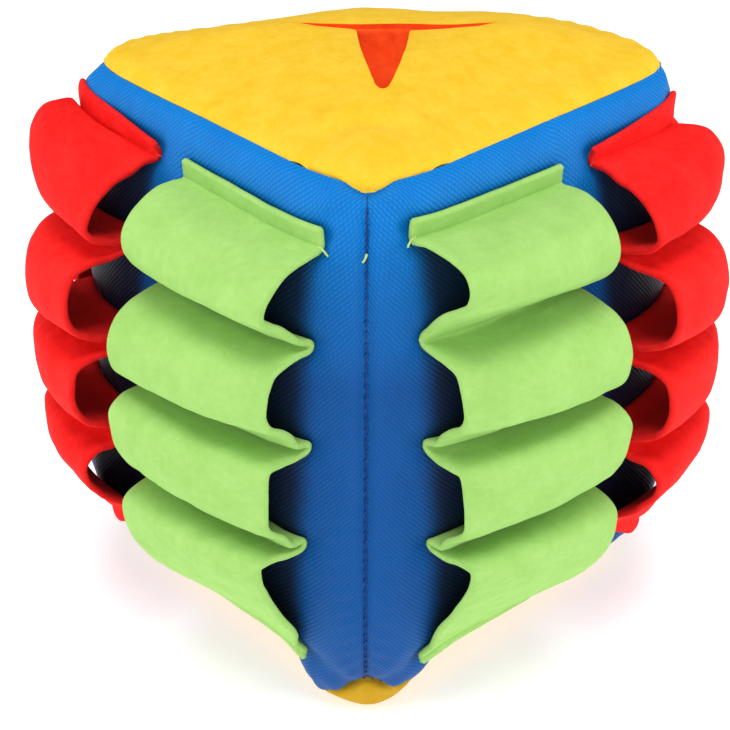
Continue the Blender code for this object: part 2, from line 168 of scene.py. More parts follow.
def to_world(face, x, y):
    if face == "front":
        return x, -y
    if face == "right":
        return y, x
    if face == "back":
        return -x, y
    return -y, -x


def on_side(face, q, t, out=0.0, plain=False):
    """Points on a side (q sideways, green end positive; t up), out along its normal."""
    q, t = np.broadcast_arrays(np.asarray(q, float), np.asarray(t, float))
    n = squareness(t)
    r = half_width(t)
    x = SIDE_SIGN[face] * q
    y = np.maximum(r ** n - np.abs(x) ** n, 0.0) ** (1.0 / n)
    d = np.abs(np.abs(q) - corner_at(t))
    z = SEAM_LOW + t * (SEAM_HIGH - SEAM_LOW)
    z = z + (1.0 - t) ** 3 * (LOW_NOTCH * bell(d, 6.0) - LOW_LOBE * bell(d - 14.0, 10.0))
    if face == "front":
        z = z - (1.0 - t) ** 3 * 3.0 * bell(d - 18.0, 8.0) * smooth(q, 0.0, 20.0)
    wx, wy = to_world(face, x, y)
    push = 0.0 if plain else corner_push(wx, wy, t)
    z = z - t ** 3 * tuck(wx, wy, d)
    wx, wy = to_world(face, x, y + out)
    return np.stack([wx + push, wy + push, z - t ** 3 * slack(wx, wy)], -1)


def crown(rho):
    return DOME * np.maximum(1.0 - rho ** CROWN, 0.0) ** 1.06


def top_rho(x, y):
    n = float(squareness(np.array(1.0)))
    return (np.abs(x) ** n + np.abs(y) ** n) ** (1.0 / n) / SEAM_HALF


def top_height(x, y):
    x, y = np.asarray(x, float), np.asarray(y, float)
    rho = np.maximum(top_rho(x, y), 1e-6)
    ex, ey = x / rho, y / rho
    d = np.minimum(np.abs(ex), np.abs(ey)) - float(corner_at(np.array(1.0)))
    return (SEAM_HIGH - tuck(ex, ey, d) * rho ** 4 + crown(np.minimum(rho, 1.0))
            - slack(x, y))


# ======================================================================
# mesh helpers
# ======================================================================
def make(name, verts, faces, mats, uv=None, face_mat=None, angle=50.0):
    mesh = bpy.data.meshes.new(name)
    mesh.from_pydata((np.asarray(verts) * MM).tolist(), [], [list(map(int, f)) for f in faces])
    for m in mats:
        mesh.materials.append(m)
    if face_mat is not None:
        mesh.polygons.foreach_set("material_index", np.asarray(face_mat, np.int32))
    if uv is not None:
        layer = mesh.uv_layers.new(name="cloth")
        loops = np.zeros(len(mesh.loops), np.int32)
        mesh.loops.foreach_get("vertex_index", loops)
        layer.data.foreach_set("uv", (np.asarray(uv, float) * MM)[loops].astype(np.float32).ravel())
    mesh.update()
    mesh.shade_smooth()
    mesh.set_sharp_from_angle(angle=math.radians(angle))
    obj = bpy.data.objects.new(name, mesh)
    bpy.context.scene.collection.objects.link(obj)
    return obj


def volume(v, faces):
    total = 0.0
    for f in faces:
        for k in range(1, len(f) - 1):
            a, b, c = v[f[0]], v[f[k]], v[f[k + 1]]
            total += float(np.dot(a, np.cross(b, c)))
    return total


def grid_normals(P, wrap=False):
    if wrap:
        du = np.roll(P, -1, 1) - np.roll(P, 1, 1)
    else:
        du = np.gradient(P, axis=1)
    dv = np.gradient(P, axis=0)
    n = np.cross(du, dv)
    return n / np.maximum(np.linalg.norm(n, axis=-1, keepdims=True), 1e-9)


def facing(P, N, towards):
    """Turns the normals to the side where towards(P) points."""
    return N if float((N * towards).sum(-1).mean()) > 0 else -N


def shell(name, P, N, thick, mats, UV, wrap=False, round_rim=(1, 1, 1, 1), centre=0.0,
          rim_mat=0, inner_mat=0, angle=50.0):
    """A cloth of a given thickness from a grid P[row, column] with normals N.

    centre 0 puts the outer face on P, and 0.5 puts the middle there.  round_rim
    says for the low row, high row, low column and high column edges whether the
    cut edge is rounded.  Returns the object.
    """
    rows, cols = P.shape[:2]
    outer = P + N * thick * centre
    inner = P - N * thick * (1.0 - centre)
    V = [outer.reshape(-1, 3), inner.reshape(-1, 3)]
    uvs = [UV.reshape(-1, 2), UV.reshape(-1, 2)]
    count = rows * cols
    idx = np.arange(count).reshape(rows, cols)
    j = np.arange(cols if wrap else cols - 1)
    a, b = idx[:-1][:, j], idx[:-1][:, (j + 1) % cols]
    c, d = idx[1:][:, (j + 1) % cols], idx[1:][:, j]
    quads = np.stack([a, b, c, d], -1).reshape(-1, 4)
    faces = [quads, quads[:, ::-1] + count]
    fmat = [np.zeros(len(quads), int), np.full(len(quads), inner_mat)]
    base = 2 * count

    def edge(ring, inward, rounded):
        nonlocal base
        o, i = outer.reshape(-1, 3)[ring], inner.reshape(-1, 3)[ring]
        mid, half = (o + i) / 2, (o - i) / 2
        away = P.reshape(-1, 3)[ring] - P.reshape(-1, 3)[inward]
        n = N.reshape(-1, 3)[ring]
        away = away - n * (away * n).sum(-1, keepdims=True)
        away /= np.maximum(np.linalg.norm(away, axis=-1, keepdims=True), 1e-9)
        loops = [ring]
        if rounded:
            for k in (1, 2, 3):
                ang = math.pi * k / 4
                V.append(mid + half * math.cos(ang) + away * thick * 0.42 * math.sin(ang))
                uvs.append(UV.reshape(-1, 2)[ring])
                loops.append(np.arange(len(ring)) + base)
                base += len(ring)
        loops.append(ring + count)
        return loops

    def rim(loops, closed):
        n = len(loops[0])
        k = np.arange(n if closed else n - 1)
        for lo, hi in zip(loops[:-1], loops[1:]):
            f = np.stack([lo[k], lo[(k + 1) % n], hi[(k + 1) % n], hi[k]], -1)
            faces.append(f)
            fmat.append(np.full(len(f), rim_mat))

    low = edge(idx[0], idx[1], round_rim[0])
    high = edge(idx[-1], idx[-2], round_rim[1])
    if wrap:
        rim([l[::-1] for l in low], True)
        rim(high, True)
    else:
        rim([l[::-1] for l in low], False)
        rim(high, False)
        left = edge(idx[:, 0], idx[:, 1], round_rim[2])
        right = edge(idx[:, -1], idx[:, -2], round_rim[3])
        rim(left, False)
        rim([l[::-1] for l in right], False)
        # close the little gaps at the four corners
        ends = ((low, 0, left, 0), (low, -1, right, 0), (high, 0, left, -1), (high, -1, right, -1))
        for p, pi, s, si in ends:
            run = [l[pi] for l in p] + [l[si] for l in s[1:-1]][::-1]
            if len(set(run)) >= 3:
                faces.append(np.array([run], dtype=object))
                fmat.append(np.full(1, rim_mat))
    v = np.concatenate(V)
    flat, fm = [], []
    for f, m in zip(faces, fmat):
        for row, slot in zip(f, m):
            ids = [int(x) for x in row]
            flat.append(ids)
            fm.append(int(slot))
    return finish_mesh(name, v, flat, fm, mats, np.concatenate(uvs), angle)


def finish_mesh(name, v, faces, fmat, mats, uv, angle=50.0, weld=1e-4):
    """Makes the object, merges doubles, and turns every face outward."""
    import bmesh
    obj = make(name, v, faces, mats, uv, fmat, angle)
    bm = bmesh.new()
    bm.from_mesh(obj.data)
    bmesh.ops.remove_doubles(bm, verts=bm.verts, dist=weld * MM)
    bmesh.ops.dissolve_degenerate(bm, edges=bm.edges, dist=weld * MM)
    bmesh.ops.recalc_face_normals(bm, faces=bm.faces)
    if bm.calc_volume(signed=True) < 0:
        bmesh.ops.reverse_faces(bm, faces=bm.faces)
    bm.to_mesh(obj.data)
    bm.free()
    obj.data.shade_smooth()
    obj.data.set_sharp_from_angle(angle=math.radians(angle))
    return obj


def tube(path, radius, sides=8, caps=True):
    """Vertices and faces of a round thread along path (n, 3); radius may vary."""
    path = np.asarray(path, float)
    n = len(path)
    radius = np.broadcast_to(np.asarray(radius, float), (n,))
    tan = np.gradient(path, axis=0)
    tan /= np.maximum(np.linalg.norm(tan, axis=1, keepdims=True), 1e-9)
    ref = np.array([0.0, 0.0, 1.0]) if abs(tan[0][2]) < 0.9 else np.array([1.0, 0.0, 0.0])
    a = np.cross(tan[0], ref)
    a /= np.linalg.norm(a)
    v, f = [], []
    for k in range(n):
        a = a - tan[k] * (a @ tan[k])
        a /= np.linalg.norm(a)
        b = np.cross(tan[k], a)
        ang = np.arange(sides) * 2 * math.pi / sides
        v.append(path[k] + radius[k] * (np.cos(ang)[:, None] * a + np.sin(ang)[:, None] * b))
    for k in range(n - 1):
        for s in range(sides):
            f.append([k * sides + s, k * sides + (s + 1) % sides,
                      (k + 1) * sides + (s + 1) % sides, (k + 1) * sides + s])
    v = np.concatenate(v)
    if caps:
        f.append(list(range(sides))[::-1])
        f.append([(n - 1) * sides + s for s in range(sides)])
    return v, f


def join(parts):
    """Several (vertices, faces) as one."""
    V, F, base = [], [], 0
    for v, f in parts:
        V.append(v)
        F += [[i + base for i in face] for face in f]
        base += len(v)
    return np.concatenate(V), F


def resample(path, step):
    path = np.asarray(path, float)
    seg = np.linalg.norm(np.diff(path, axis=0), axis=1)
    s = np.concatenate([[0], np.cumsum(seg)])
    n = max(2, int(round(s[-1] / step)) + 1)
    at = np.linspace(0, s[-1], n)
    return np.stack([np.interp(at, s, path[:, k]) for k in range(3)], -1), s[-1]


def thread_uv(v):
    return np.stack([v[:, 0] + v[:, 1], v[:, 2]], -1)


def stitches(name, runs, mat, length=2.7, gap=1.0, radius=0.3, lift=0.12, seed=1, extra=()):
    """Rows of separate stitches.  runs are (points, outward normals)."""
    rng = np.random.default_rng(seed)
    parts = []
    for points, normals in runs:
        points, normals = np.asarray(points, float), np.asarray(normals, float)
        seg = np.linalg.norm(np.diff(points, axis=0), axis=1)
        s = np.concatenate([[0], np.cumsum(seg)])
        pos = 0.3
        while pos + length < s[-1]:
            long = length * rng.uniform(0.9, 1.1)
            w = np.linspace(0, 1, 7)
            at = pos + w * long
            p = np.stack([np.interp(at, s, points[:, k]) for k in range(3)], -1)
            n = np.stack([np.interp(at, s, normals[:, k]) for k in range(3)], -1)
            n /= np.linalg.norm(n, axis=1, keepdims=True)
            rise = (np.sin(math.pi * w) ** 0.6) * (lift + radius) - radius * 0.9
            r = radius * (0.55 + 0.45 * np.sin(math.pi * w) ** 0.5)
            parts.append(tube(p + n * rise[:, None], r, 7))
            pos += long + gap
    parts += list(extra)
    v, f = join(parts)
    return make(name, v, f, [mat], thread_uv(v))


# ======================================================================
# materials
# ======================================================================
class Shader:
    """Small helper around a node tree."""

    def __init__(self, name):
        self.mat = bpy.data.materials.new(name)
        self.mat.use_nodes = True
        self.t = self.mat.node_tree
        self.t.nodes.clear()
        self.out = self.add("ShaderNodeOutputMaterial")
        self.bsdf = self.add("ShaderNodeBsdfPrincipled")
        self.link(self.bsdf.outputs[0], self.out.inputs[0])
        uv = self.add("ShaderNodeUVMap")
        uv.uv_map = "cloth"
        scale = self.add("ShaderNodeVectorMath")
        scale.operation = "SCALE"
        self.link(uv.outputs[0], scale.inputs[0])
        scale.inputs["Scale"].default_value = 1000.0
        self.mm = scale.outputs[0]

    def add(self, kind):
        return self.t.nodes.new(kind)

    def link(self, a, b):
        self.t.links.new(a, b)

    def put(self, socket, value):
        if hasattr(value, "links") or isinstance(value, bpy.types.NodeSocket):
            self.link(value, socket)
        else:
            socket.default_value = value

    def math(self, op, a, b=None, c=None, clamp=False):
        n = self.add("ShaderNodeMath")
        n.operation = op
        n.use_clamp = clamp
        self.put(n.inputs[0], a)
        if b is not None:
            self.put(n.inputs[1], b)
        if c is not None:
            self.put(n.inputs[2], c)
        return n.outputs[0]

    def noise(self, scale, detail=3.0, rough=0.5, vector=None, distortion=0.0, stretch=None):
        n = self.add("ShaderNodeTexNoise")
        n.inputs["Scale"].default_value = scale
        n.inputs["Detail"].default_value = detail
        n.inputs["Roughness"].default_value = rough
        n.inputs["Distortion"].default_value = distortion
        v = vector or self.mm
        if stretch:
            m = self.add("ShaderNodeMapping")
            m.inputs["Scale"].default_value = stretch[0]
            m.inputs["Rotation"].default_value = (0, 0, stretch[1])
            self.link(v, m.inputs["Vector"])
            v = m.outputs[0]
        self.link(v, n.inputs["Vector"])
        return n.outputs[0]

    def span(self, value, lo, hi, a=0.0, b=1.0):
        n = self.add("ShaderNodeMapRange")
        self.put(n.inputs["Value"], value)
        n.inputs["From Min"].default_value = lo
        n.inputs["From Max"].default_value = hi
        n.inputs["To Min"].default_value = a
        n.inputs["To Max"].default_value = b
        return n.outputs["Result"]

    def up(self):
        """Height on the object, in metres."""
        n, parts = self.add("ShaderNodeTexCoord"), self.add("ShaderNodeSeparateXYZ")
        self.link(n.outputs["Object"], parts.inputs[0])
        return parts.outputs[2]

    def mix(self, fac, a, b, mode="MIX"):
        n = self.add("ShaderNodeMix")
        n.data_type = "RGBA"
        n.blend_type = mode
        n.clamp_factor = True
        self.put(n.inputs[0], fac)
        self.put(n.inputs[6], a)
        self.put(n.inputs[7], b)
        return n.outputs[2]

    def bump(self, height, strength, distance, normal=None):
        n = self.add("ShaderNodeBump")
        n.inputs["Strength"].default_value = strength
        n.inputs["Distance"].default_value = distance
        self.link(height, n.inputs["Height"])
        if normal is not None:
            self.link(normal, n.inputs["Normal"])
        return n.outputs[0]

    def uv_parts(self):
        n = self.add("ShaderNodeSeparateXYZ")
        self.link(self.mm, n.inputs[0])
        return n.outputs[0], n.outputs[1]


def rgb(r, g, b):
    """Colour given as 0-255 display values."""
    def lin(c):
        c = c / 255.0
        return c / 12.92 if c <= 0.04045 else ((c + 0.055) / 1.055) ** 2.4
    return (lin(r), lin(g), lin(b), 1.0)


def fleece(name, light, mid, dark, nap=1.0, seed=0.0, sheen=0.22):
    """Short-napped fleece or felt: soft blotches, a fine matted nap and pills."""
    s = Shader(name)
    shift = s.add("ShaderNodeVectorMath")
    shift.operation = "ADD"
    s.link(s.mm, shift.inputs[0])
    shift.inputs[1].default_value = (seed, seed * 1.7, seed * 0.3)
    v = shift.outputs[0]
    blotch = s.noise(0.11, 3.0, 0.55, v)
    patch = s.noise(0.45, 3.0, 0.6, v, 0.4)
    grain = s.noise(1.7, 4.0, 0.65, v, 0.8)
    fibre = s.noise(1.0, 5.0, 0.7, v, 1.6, ((3.2, 1.1, 1.0), 0.5))
    cross = s.noise(1.0, 5.0, 0.7, v, 1.6, ((1.0, 3.4, 1.0), -0.35))
    tone = s.math("ADD", s.math("MULTIPLY", blotch, 0.55), s.math("MULTIPLY", patch, 0.45))
    base = s.mix(s.span(tone, 0.36, 0.64), dark, light)
    base = s.mix(0.55, base, mid)
    fine = s.math("ADD", s.math("MULTIPLY", grain, 0.5),
                  s.math("ADD", s.math("MULTIPLY", fibre, 0.25), s.math("MULTIPLY", cross, 0.25)))
    base = s.mix(s.span(fine, 0.40, 0.33, 0.0, 0.45), base, dark)
    base = s.mix(s.span(fine, 0.58, 0.68, 0.0, 0.35), base, light)
    s.link(base, s.bsdf.inputs["Base Color"])
    s.bsdf.inputs["Roughness"].default_value = 0.93
    s.bsdf.inputs["Specular IOR Level"].default_value = 0.18
    s.bsdf.inputs["Sheen Weight"].default_value = sheen
    s.bsdf.inputs["Sheen Roughness"].default_value = 0.55
    s.bsdf.inputs["Sheen Tint"].default_value = light
    soft = s.bump(patch, 0.35 * nap, 0.0005)
    s.link(s.bump(fine, 0.55 * nap, 0.00035, soft), s.bsdf.inputs["Normal"])
    return s.mat


def oxford(name, light, mid, dark):
    """Coated woven cloth with slanting ribs and the floats of the yarn on them."""
    s = Shader(name)
    wob = s.noise(0.05, 2.0, 0.5)
    u, v = s.uv_parts()
    a = s.math("ADD", u, v)
    b = s.math("ADD", s.math("SUBTRACT", u, v), s.math("MULTIPLY", wob, 1.6))
    rib = s.math("MULTIPLY", s.math("ADD", s.math("SINE", s.math("MULTIPLY", b, 2 * math.pi / 1.62)), 1.0), 0.5)
    floats = s.math("MULTIPLY", s.math("ADD", s.math("SINE", s.math("ADD", s.math(
        "MULTIPLY", a, 2 * math.pi / 1.9), s.math("MULTIPLY", b, 1.9))), 1.0), 0.5)
    warp = s.math("MULTIPLY", s.math("ADD", s.math("SINE", s.math("MULTIPLY", u, 2 * math.pi / 0.62)), 1.0), 0.5)
    weft = s.math("MULTIPLY", s.math("ADD", s.math("SINE", s.math("MULTIPLY", v, 2 * math.pi / 0.62)), 1.0), 0.5)
    yarn = s.math("MULTIPLY", warp, weft)
    height = s.math("ADD", s.math("MULTIPLY", rib, 0.45),
                    s.math("ADD", s.math("MULTIPLY", s.math("MULTIPLY", rib, floats), 0.45),
                           s.math("MULTIPLY", yarn, 0.16)))
    cloud = s.noise(0.035, 3.0, 0.6)
    slub = s.noise(0.9, 3.0, 0.6, None, 0.0, ((0.12, 1.5, 1.0), 0.0))
    # painted shade and highlight of the weave: darker between the yarns, lighter on the rib tops
    base = s.mix(s.span(height, -0.6, 0.8), dark, mid)
    # painted glints on the yarn floats, where the yarn catches the light
    painted_glint = s.math("MULTIPLY", s.math("POWER", rib, 2.0), s.math("POWER", floats, 3.0))
    base = s.mix(s.math("MULTIPLY", painted_glint, s.span(slub, 0.35, 0.65, 0.05, 0.45)), base, light)
    base = s.mix(s.span(cloud, 0.35, 0.65, 0.0, 0.22), base, dark)
    # painted shade: the cloth below the band round the top is darker, as the upright sides get less light
    low = s.mix(0.74, base, rgb(0, 52, 118))
    base = s.mix(s.span(s.up(), 0.120, 0.172), low, base)
    # painted shade: where the 'under' mark is set, the cloth is mixed 86 % towards near black
    under = s.add("ShaderNodeAttribute")
    under.attribute_name = "under"
    base = s.mix(s.math("MULTIPLY", under.outputs["Fac"], 0.86), base, rgb(22, 20, 28))
    s.link(base, s.bsdf.inputs["Base Color"])
    s.link(s.span(height, 0.0, 1.2, 0.62, 0.40), s.bsdf.inputs["Roughness"])
    s.bsdf.inputs["Specular IOR Level"].default_value = 0.14
    s.bsdf.inputs["Sheen Weight"].default_value = 0.02
    s.bsdf.inputs["Sheen Roughness"].default_value = 0.4
    s.bsdf.inputs["Sheen Tint"].default_value = rgb(120, 190, 255)
    s.link(s.bump(height, 0.55, 0.00022), s.bsdf.inputs["Normal"])
    return s.mat


def yarn(name, light, dark):
    """Twisted sewing thread."""
    s = Shader(name)
    geo = s.add("ShaderNodeTexCoord")
    sc = s.add("ShaderNodeVectorMath")
    sc.operation = "SCALE"
    s.link(geo.outputs["Object"], sc.inputs[0])
    sc.inputs["Scale"].default_value = 1000.0
    n = s.noise(2.4, 2.0, 0.5, sc.outputs[0], 0.0, ((1.0, 1.0, 2.5), 0.6))
    s.link(s.mix(s.span(n, 0.4, 0.6), dark, light), s.bsdf.inputs["Base Color"])
    s.bsdf.inputs["Roughness"].default_value = 0.6
    s.bsdf.inputs["Specular IOR Level"].default_value = 0.35
    s.link(s.bump(n, 0.5, 0.0002), s.bsdf.inputs["Normal"])
    return s.mat


M = {
    "blue": oxford("woven_blue", rgb(14, 150, 228), rgb(0, 122, 200), rgb(0, 82, 160)),
    "yellow": fleece("fleece_yellow", rgb(234, 194, 66), rgb(226, 182, 36), rgb(214, 166, 14), 0.8, 3.0),
    # painted shade: a darker copy of the yellow fleece for the bottom panel, which lies in shade
    "yellow_painted_shade": fleece("fleece_yellow_painted_shade", rgb(200, 158, 44), rgb(192, 148, 24), rgb(182, 136, 10), 0.8, 3.0),
    "green": fleece("felt_green", rgb(160, 203, 115), rgb(150, 194, 103), rgb(134, 180, 88), 0.9, 9.0),
    "green_edge": fleece("felt_green_edge", rgb(158, 201, 113), rgb(148, 192, 101), rgb(132, 178, 87), 1.2, 14.0),
    "red": fleece("felt_red", rgb(244, 44, 38), rgb(236, 24, 22), rgb(206, 8, 10), 0.9, 21.0, 0.12),
    "red_edge": fleece("felt_red_edge", rgb(242, 42, 36), rgb(232, 22, 20), rgb(198, 8, 10), 1.2, 27.0, 0.12),
    "orange": fleece("lining_orange", rgb(255, 96, 38), rgb(255, 74, 20), rgb(236, 52, 6), 0.7, 33.0, 0.12),
    "fill": fleece("fibre_white", rgb(250, 250, 248), rgb(240, 240, 238), rgb(215, 215, 212), 1.5, 40.0),
    "navy": yarn("thread_navy", rgb(20, 70, 140), rgb(4, 28, 80)),
    "pale": yarn("thread_pale", rgb(196, 216, 132), rgb(150, 188, 96)),
    "rust": yarn("thread_red", rgb(230, 40, 34), rgb(170, 8, 10)),
    "gold": yarn("thread_gold", rgb(250, 214, 90), rgb(206, 150, 20)),
}


# ======================================================================
# the filling
# ======================================================================
def mouth_distance(x, y):
    """Signed distance to the triangle of the mouth, negative inside."""
    pts = [np.array(p) for p in (SLIT_A, ARM_END, SLIT_B)]
    out = None
    for k in range(3):
        a, b = pts[k], pts[(k + 1) % 3]
        d = (b - a) / np.linalg.norm(b - a)
        s = (x - a[0]) * d[1] - (y - a[1]) * d[0]
        out = s if out is None else np.maximum(out, s)
    return out


def build_filling():
    cols = 160
    rows = []
    ang = np.linspace(0, 2 * math.pi, cols, endpoint=False)
    edge_t = np.linspace(0, 1, 60)

    def ring(t, inset):
        n = squareness(np.array(t))
        r = float(half_width(np.array(t))) - inset
        c, s = np.cos(ang), np.sin(ang)
        k = r / (np.abs(c) ** n + np.abs(s) ** n) ** (1 / n)
        return c * k, s * k

    def lumps(p, seed):
        return 0.7 * fbm(p[:, 0] / 16 + p[:, 1] / 23, p[:, 2] / 15 + p[:, 1] / 19, seed)

    for rho in np.linspace(0.0, 0.90, 12):
        x, y = ring(0.0, 2.5)
        z = 3.6 + 10.0 * smooth(np.full(cols, rho), 0.70, 0.90)
        rows.append(np.stack([x * rho, y * rho, z], -1))
    for t in edge_t[1:-2]:
        x, y = ring(t, 3.4 + 1.6 * float(smooth(t, 0.85, 1.0)) + 1.0 * float(smooth(t, 0.12, 0.0)))
        push = np.minimum(corner_push(x, y, t) * np.sign(x), 0.0) * np.sign(x) * 1.3
        x, y = x + push, y + push
        z = SEAM_LOW + t * (SEAM_HIGH - SEAM_LOW) - t ** 3 * (slack(x, y) + 2.5)
        p = np.stack([x, y, z], -1)
        k = lumps(p, 5)
        p[:, :2] *= (1 + k[:, None] * 0.6 / 80)
        rows.append(p)
    for rho in np.linspace(0.95, 0.0, 46):
        x, y = ring(1.0, 3.0)
        x, y = x * rho, y * rho
        z = top_height(x, y) - 4.6
        push = corner_push(x, y, 1.0) * 1.3
        x, y = x + push, y + push
        floor = SEAM_HIGH + DOME - POCKET_DEPTH - 3.0
        inside = smooth(mouth_distance(x, y), 7.5, 2.5)
        z = z * (1 - inside) + np.minimum(z, floor) * inside
        z = z + 0.3 * fbm(x / 12, y / 12, 8) * (1 - inside)
        rows.append(np.stack([x, y, z], -1))
    P = np.stack(rows)
    n = len(rows)
    V = P.reshape(-1, 3)
    idx = np.arange(n * cols).reshape(n, cols)
    j = np.arange(cols)
    f = np.stack([idx[:-1], idx[:-1][:, (j + 1) % cols], idx[1:][:, (j + 1) % cols], idx[1:]], -1).reshape(-1, 4)
    uv = np.stack([V[:, 0] + V[:, 1] * 0.7, V[:, 2]], -1)
    return finish_mesh("fibre_filling", V, f.tolist(), None, [M["fill"]], uv, 80.0)


filling = build_filling()
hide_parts("stuffing_core")
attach(filling, "cube")


# ======================================================================
# side panels
# ======================================================================
def side_frame(face, cols, rows_t, s_grid):
    """Plain points of a side for lateral shares s (-1 to 1) and levels t."""
    T, S = np.meshgrid(rows_t, s_grid, indexing="ij")
    Q = S * (corner_at(T) - 0.2)
    return Q, T


def arc_lengths(P):
    """Cloth coordinates: arc length from the middle column, and up each column."""
    dx = np.linalg.norm(np.diff(P, axis=1), axis=2)
    u = np.concatenate([np.zeros((P.shape[0], 1)), np.cumsum(dx, axis=1)], 1)
    mid = P.shape[1] // 2
    u = u - u[:, mid:mid + 1]
    dz = np.linalg.norm(np.diff(P, axis=0), axis=2)
    v = np.concatenate([np.zeros((1, P.shape[1])), np.cumsum(dz, axis=0)], 0)
    v = v - v[v.shape[0] // 2]
    return u, v


def ease(n, power):
    """Shares from -1 to 1, closer together towards both ends."""
    w = np.linspace(-1, 1, n)
    return w * (1 + power * (1 - w * w))


def side_relief(face, Q, T, k):
    """How far the cloth stands in or out of the plain shape."""
    edge = corner_at(T) - np.abs(Q)
    up = (1 - T) * (SEAM_HIGH - SEAM_LOW)
    down = T * (SEAM_HIGH - SEAM_LOW)
    z = SEAM_LOW + T * (SEAM_HIGH - SEAM_LOW)
    side = np.sign(Q)
    ends = (1 - 0.7 * bell(up, 5.0)) * (1 - 0.5 * bell(down, 5.0))
    d = -(1.5 * bell(edge, 1.3) + 0.45 * bell(edge, 6.0)) * ends
    ripple = np.sin(2 * math.pi * (z / 6.4 + 0.7 * noise(z / 30, side * 3.0 + k, 3)) + side + k)
    d += 0.26 * ripple * bell(edge - 4.0, 3.5) * (0.5 + 0.5 * noise(z / 18, side * 5 + k, 4))
    d += -1.1 * bell(up, 1.3) - 0.35 * bell(up, 5.0)
    ripple = np.sin(2 * math.pi * (Q / 7.2 + 0.8 * noise(Q / 30, k * 2.0, 6)) + k)
    d += 0.22 * ripple * bell(up - 4.0, 3.5)
    d += -1.2 * bell(down, 1.4) - 0.5 * bell(down, 6.0)
    ripple = np.sin(2 * math.pi * (Q / 8.4 + 0.8 * noise(Q / 30, k * 2.0 + 9, 6)) + 2 * k)
    d += 0.35 * ripple * bell(down - 5.0, 4.5)
    # soft folds that run in from the corners of the side
    for sgn in (-1.0, 1.0):
        dx = edge * np.where(side == sgn, 1.0, 50.0)
        for a, far, amp in ((0.55, 26.0, 0.55), (1.25, 34.0, -0.5), (2.3, 30.0, 0.4)):
            line = dx * a - up
            d += amp * bell(line, 3.0 + 0.08 * up) * bell(np.hypot(dx, up) - 12, far * 0.6) * smooth(np.hypot(dx, up), 2, 9)
            line = dx * a - down
            d += amp * bell(line, 3.5 + 0.08 * down) * bell(np.hypot(dx, down) - 12, far * 0.6) * smooth(np.hypot(dx, down), 2, 9)
    # pulled in along the sewn lines of the strips
    for colour, (q0, q1) in (("green", GREEN), ("red", RED)):
        lo, hi = min(q0, q1), max(q0, q1)
        span = smooth(Q, lo - 6, lo + 1) * smooth(Q, hi + 6, hi - 1)
        w = np.clip((Q - q0) / (q1 - q0), 0, 1)
        near, far = ROWS[colour][LOOK[face]]
        for j in range(5):
            off = z - (near[j] * (1 - w) + far[j] * w)
            if j in (0, 4):
                d -= 1.8 * bell(off + (-1.2 if j == 0 else 1.2), 4.2) * span
            else:
                d -= 1.6 * bell(off, 3.4) * span
            d += 0.30 * bell(off - 7, 4.0) * span + 0.30 * bell(off + 7, 4.0) * span
    if face == "front":
        d += 3.0 * bell(edge - 17.0, 9.0) * bell(z - 8.0, 12.0) * smooth(Q, 10.0, 30.0)
    d += 0.36 * fbm(Q / 26 + 3 * k, z / 30, 12 + k) * smooth(edge, 1.5, 9)
    d += 0.12 * fbm(Q / 7 + 5 * k, z / 8, 31 + k, 2) * smooth(edge, 1.5, 6)
    return d


def paint_shade_under(obj, face):
    """Marks the cloth under the loops, where the blue is painted nearly black as painted shade."""
    co = np.empty(len(obj.data.vertices) * 3, np.float32)
    obj.data.vertices.foreach_get("co", co)
    x, y, z = co.reshape(-1, 3).T / MM
    lx, ly = to_world(face, SIDE_SIGN[face], 0.0)
    q = x * lx + y * ly
    amount = np.zeros_like(q)
    for colour, (q0, q1) in (("green", GREEN), ("red", RED)):
        near, far = ROWS[colour][LOOK[face]]
        w = np.clip((q - q0) / (q1 - q0), 0, 1)
        high, low = near[0] * (1 - w) + far[0] * w, near[4] * (1 - w) + far[4] * w
        inside = smooth(q, q0 + 3.0, q0 - 5.0) * smooth(q, q1 - 4.0, q1 + 5.0)
        amount = np.maximum(amount, inside * smooth(z, low, low + 8) * smooth(z, high + 1, high - 5))
    layer = obj.data.attributes.new("under", "FLOAT", "POINT")
    layer.data.foreach_set("value", amount.astype(np.float32))


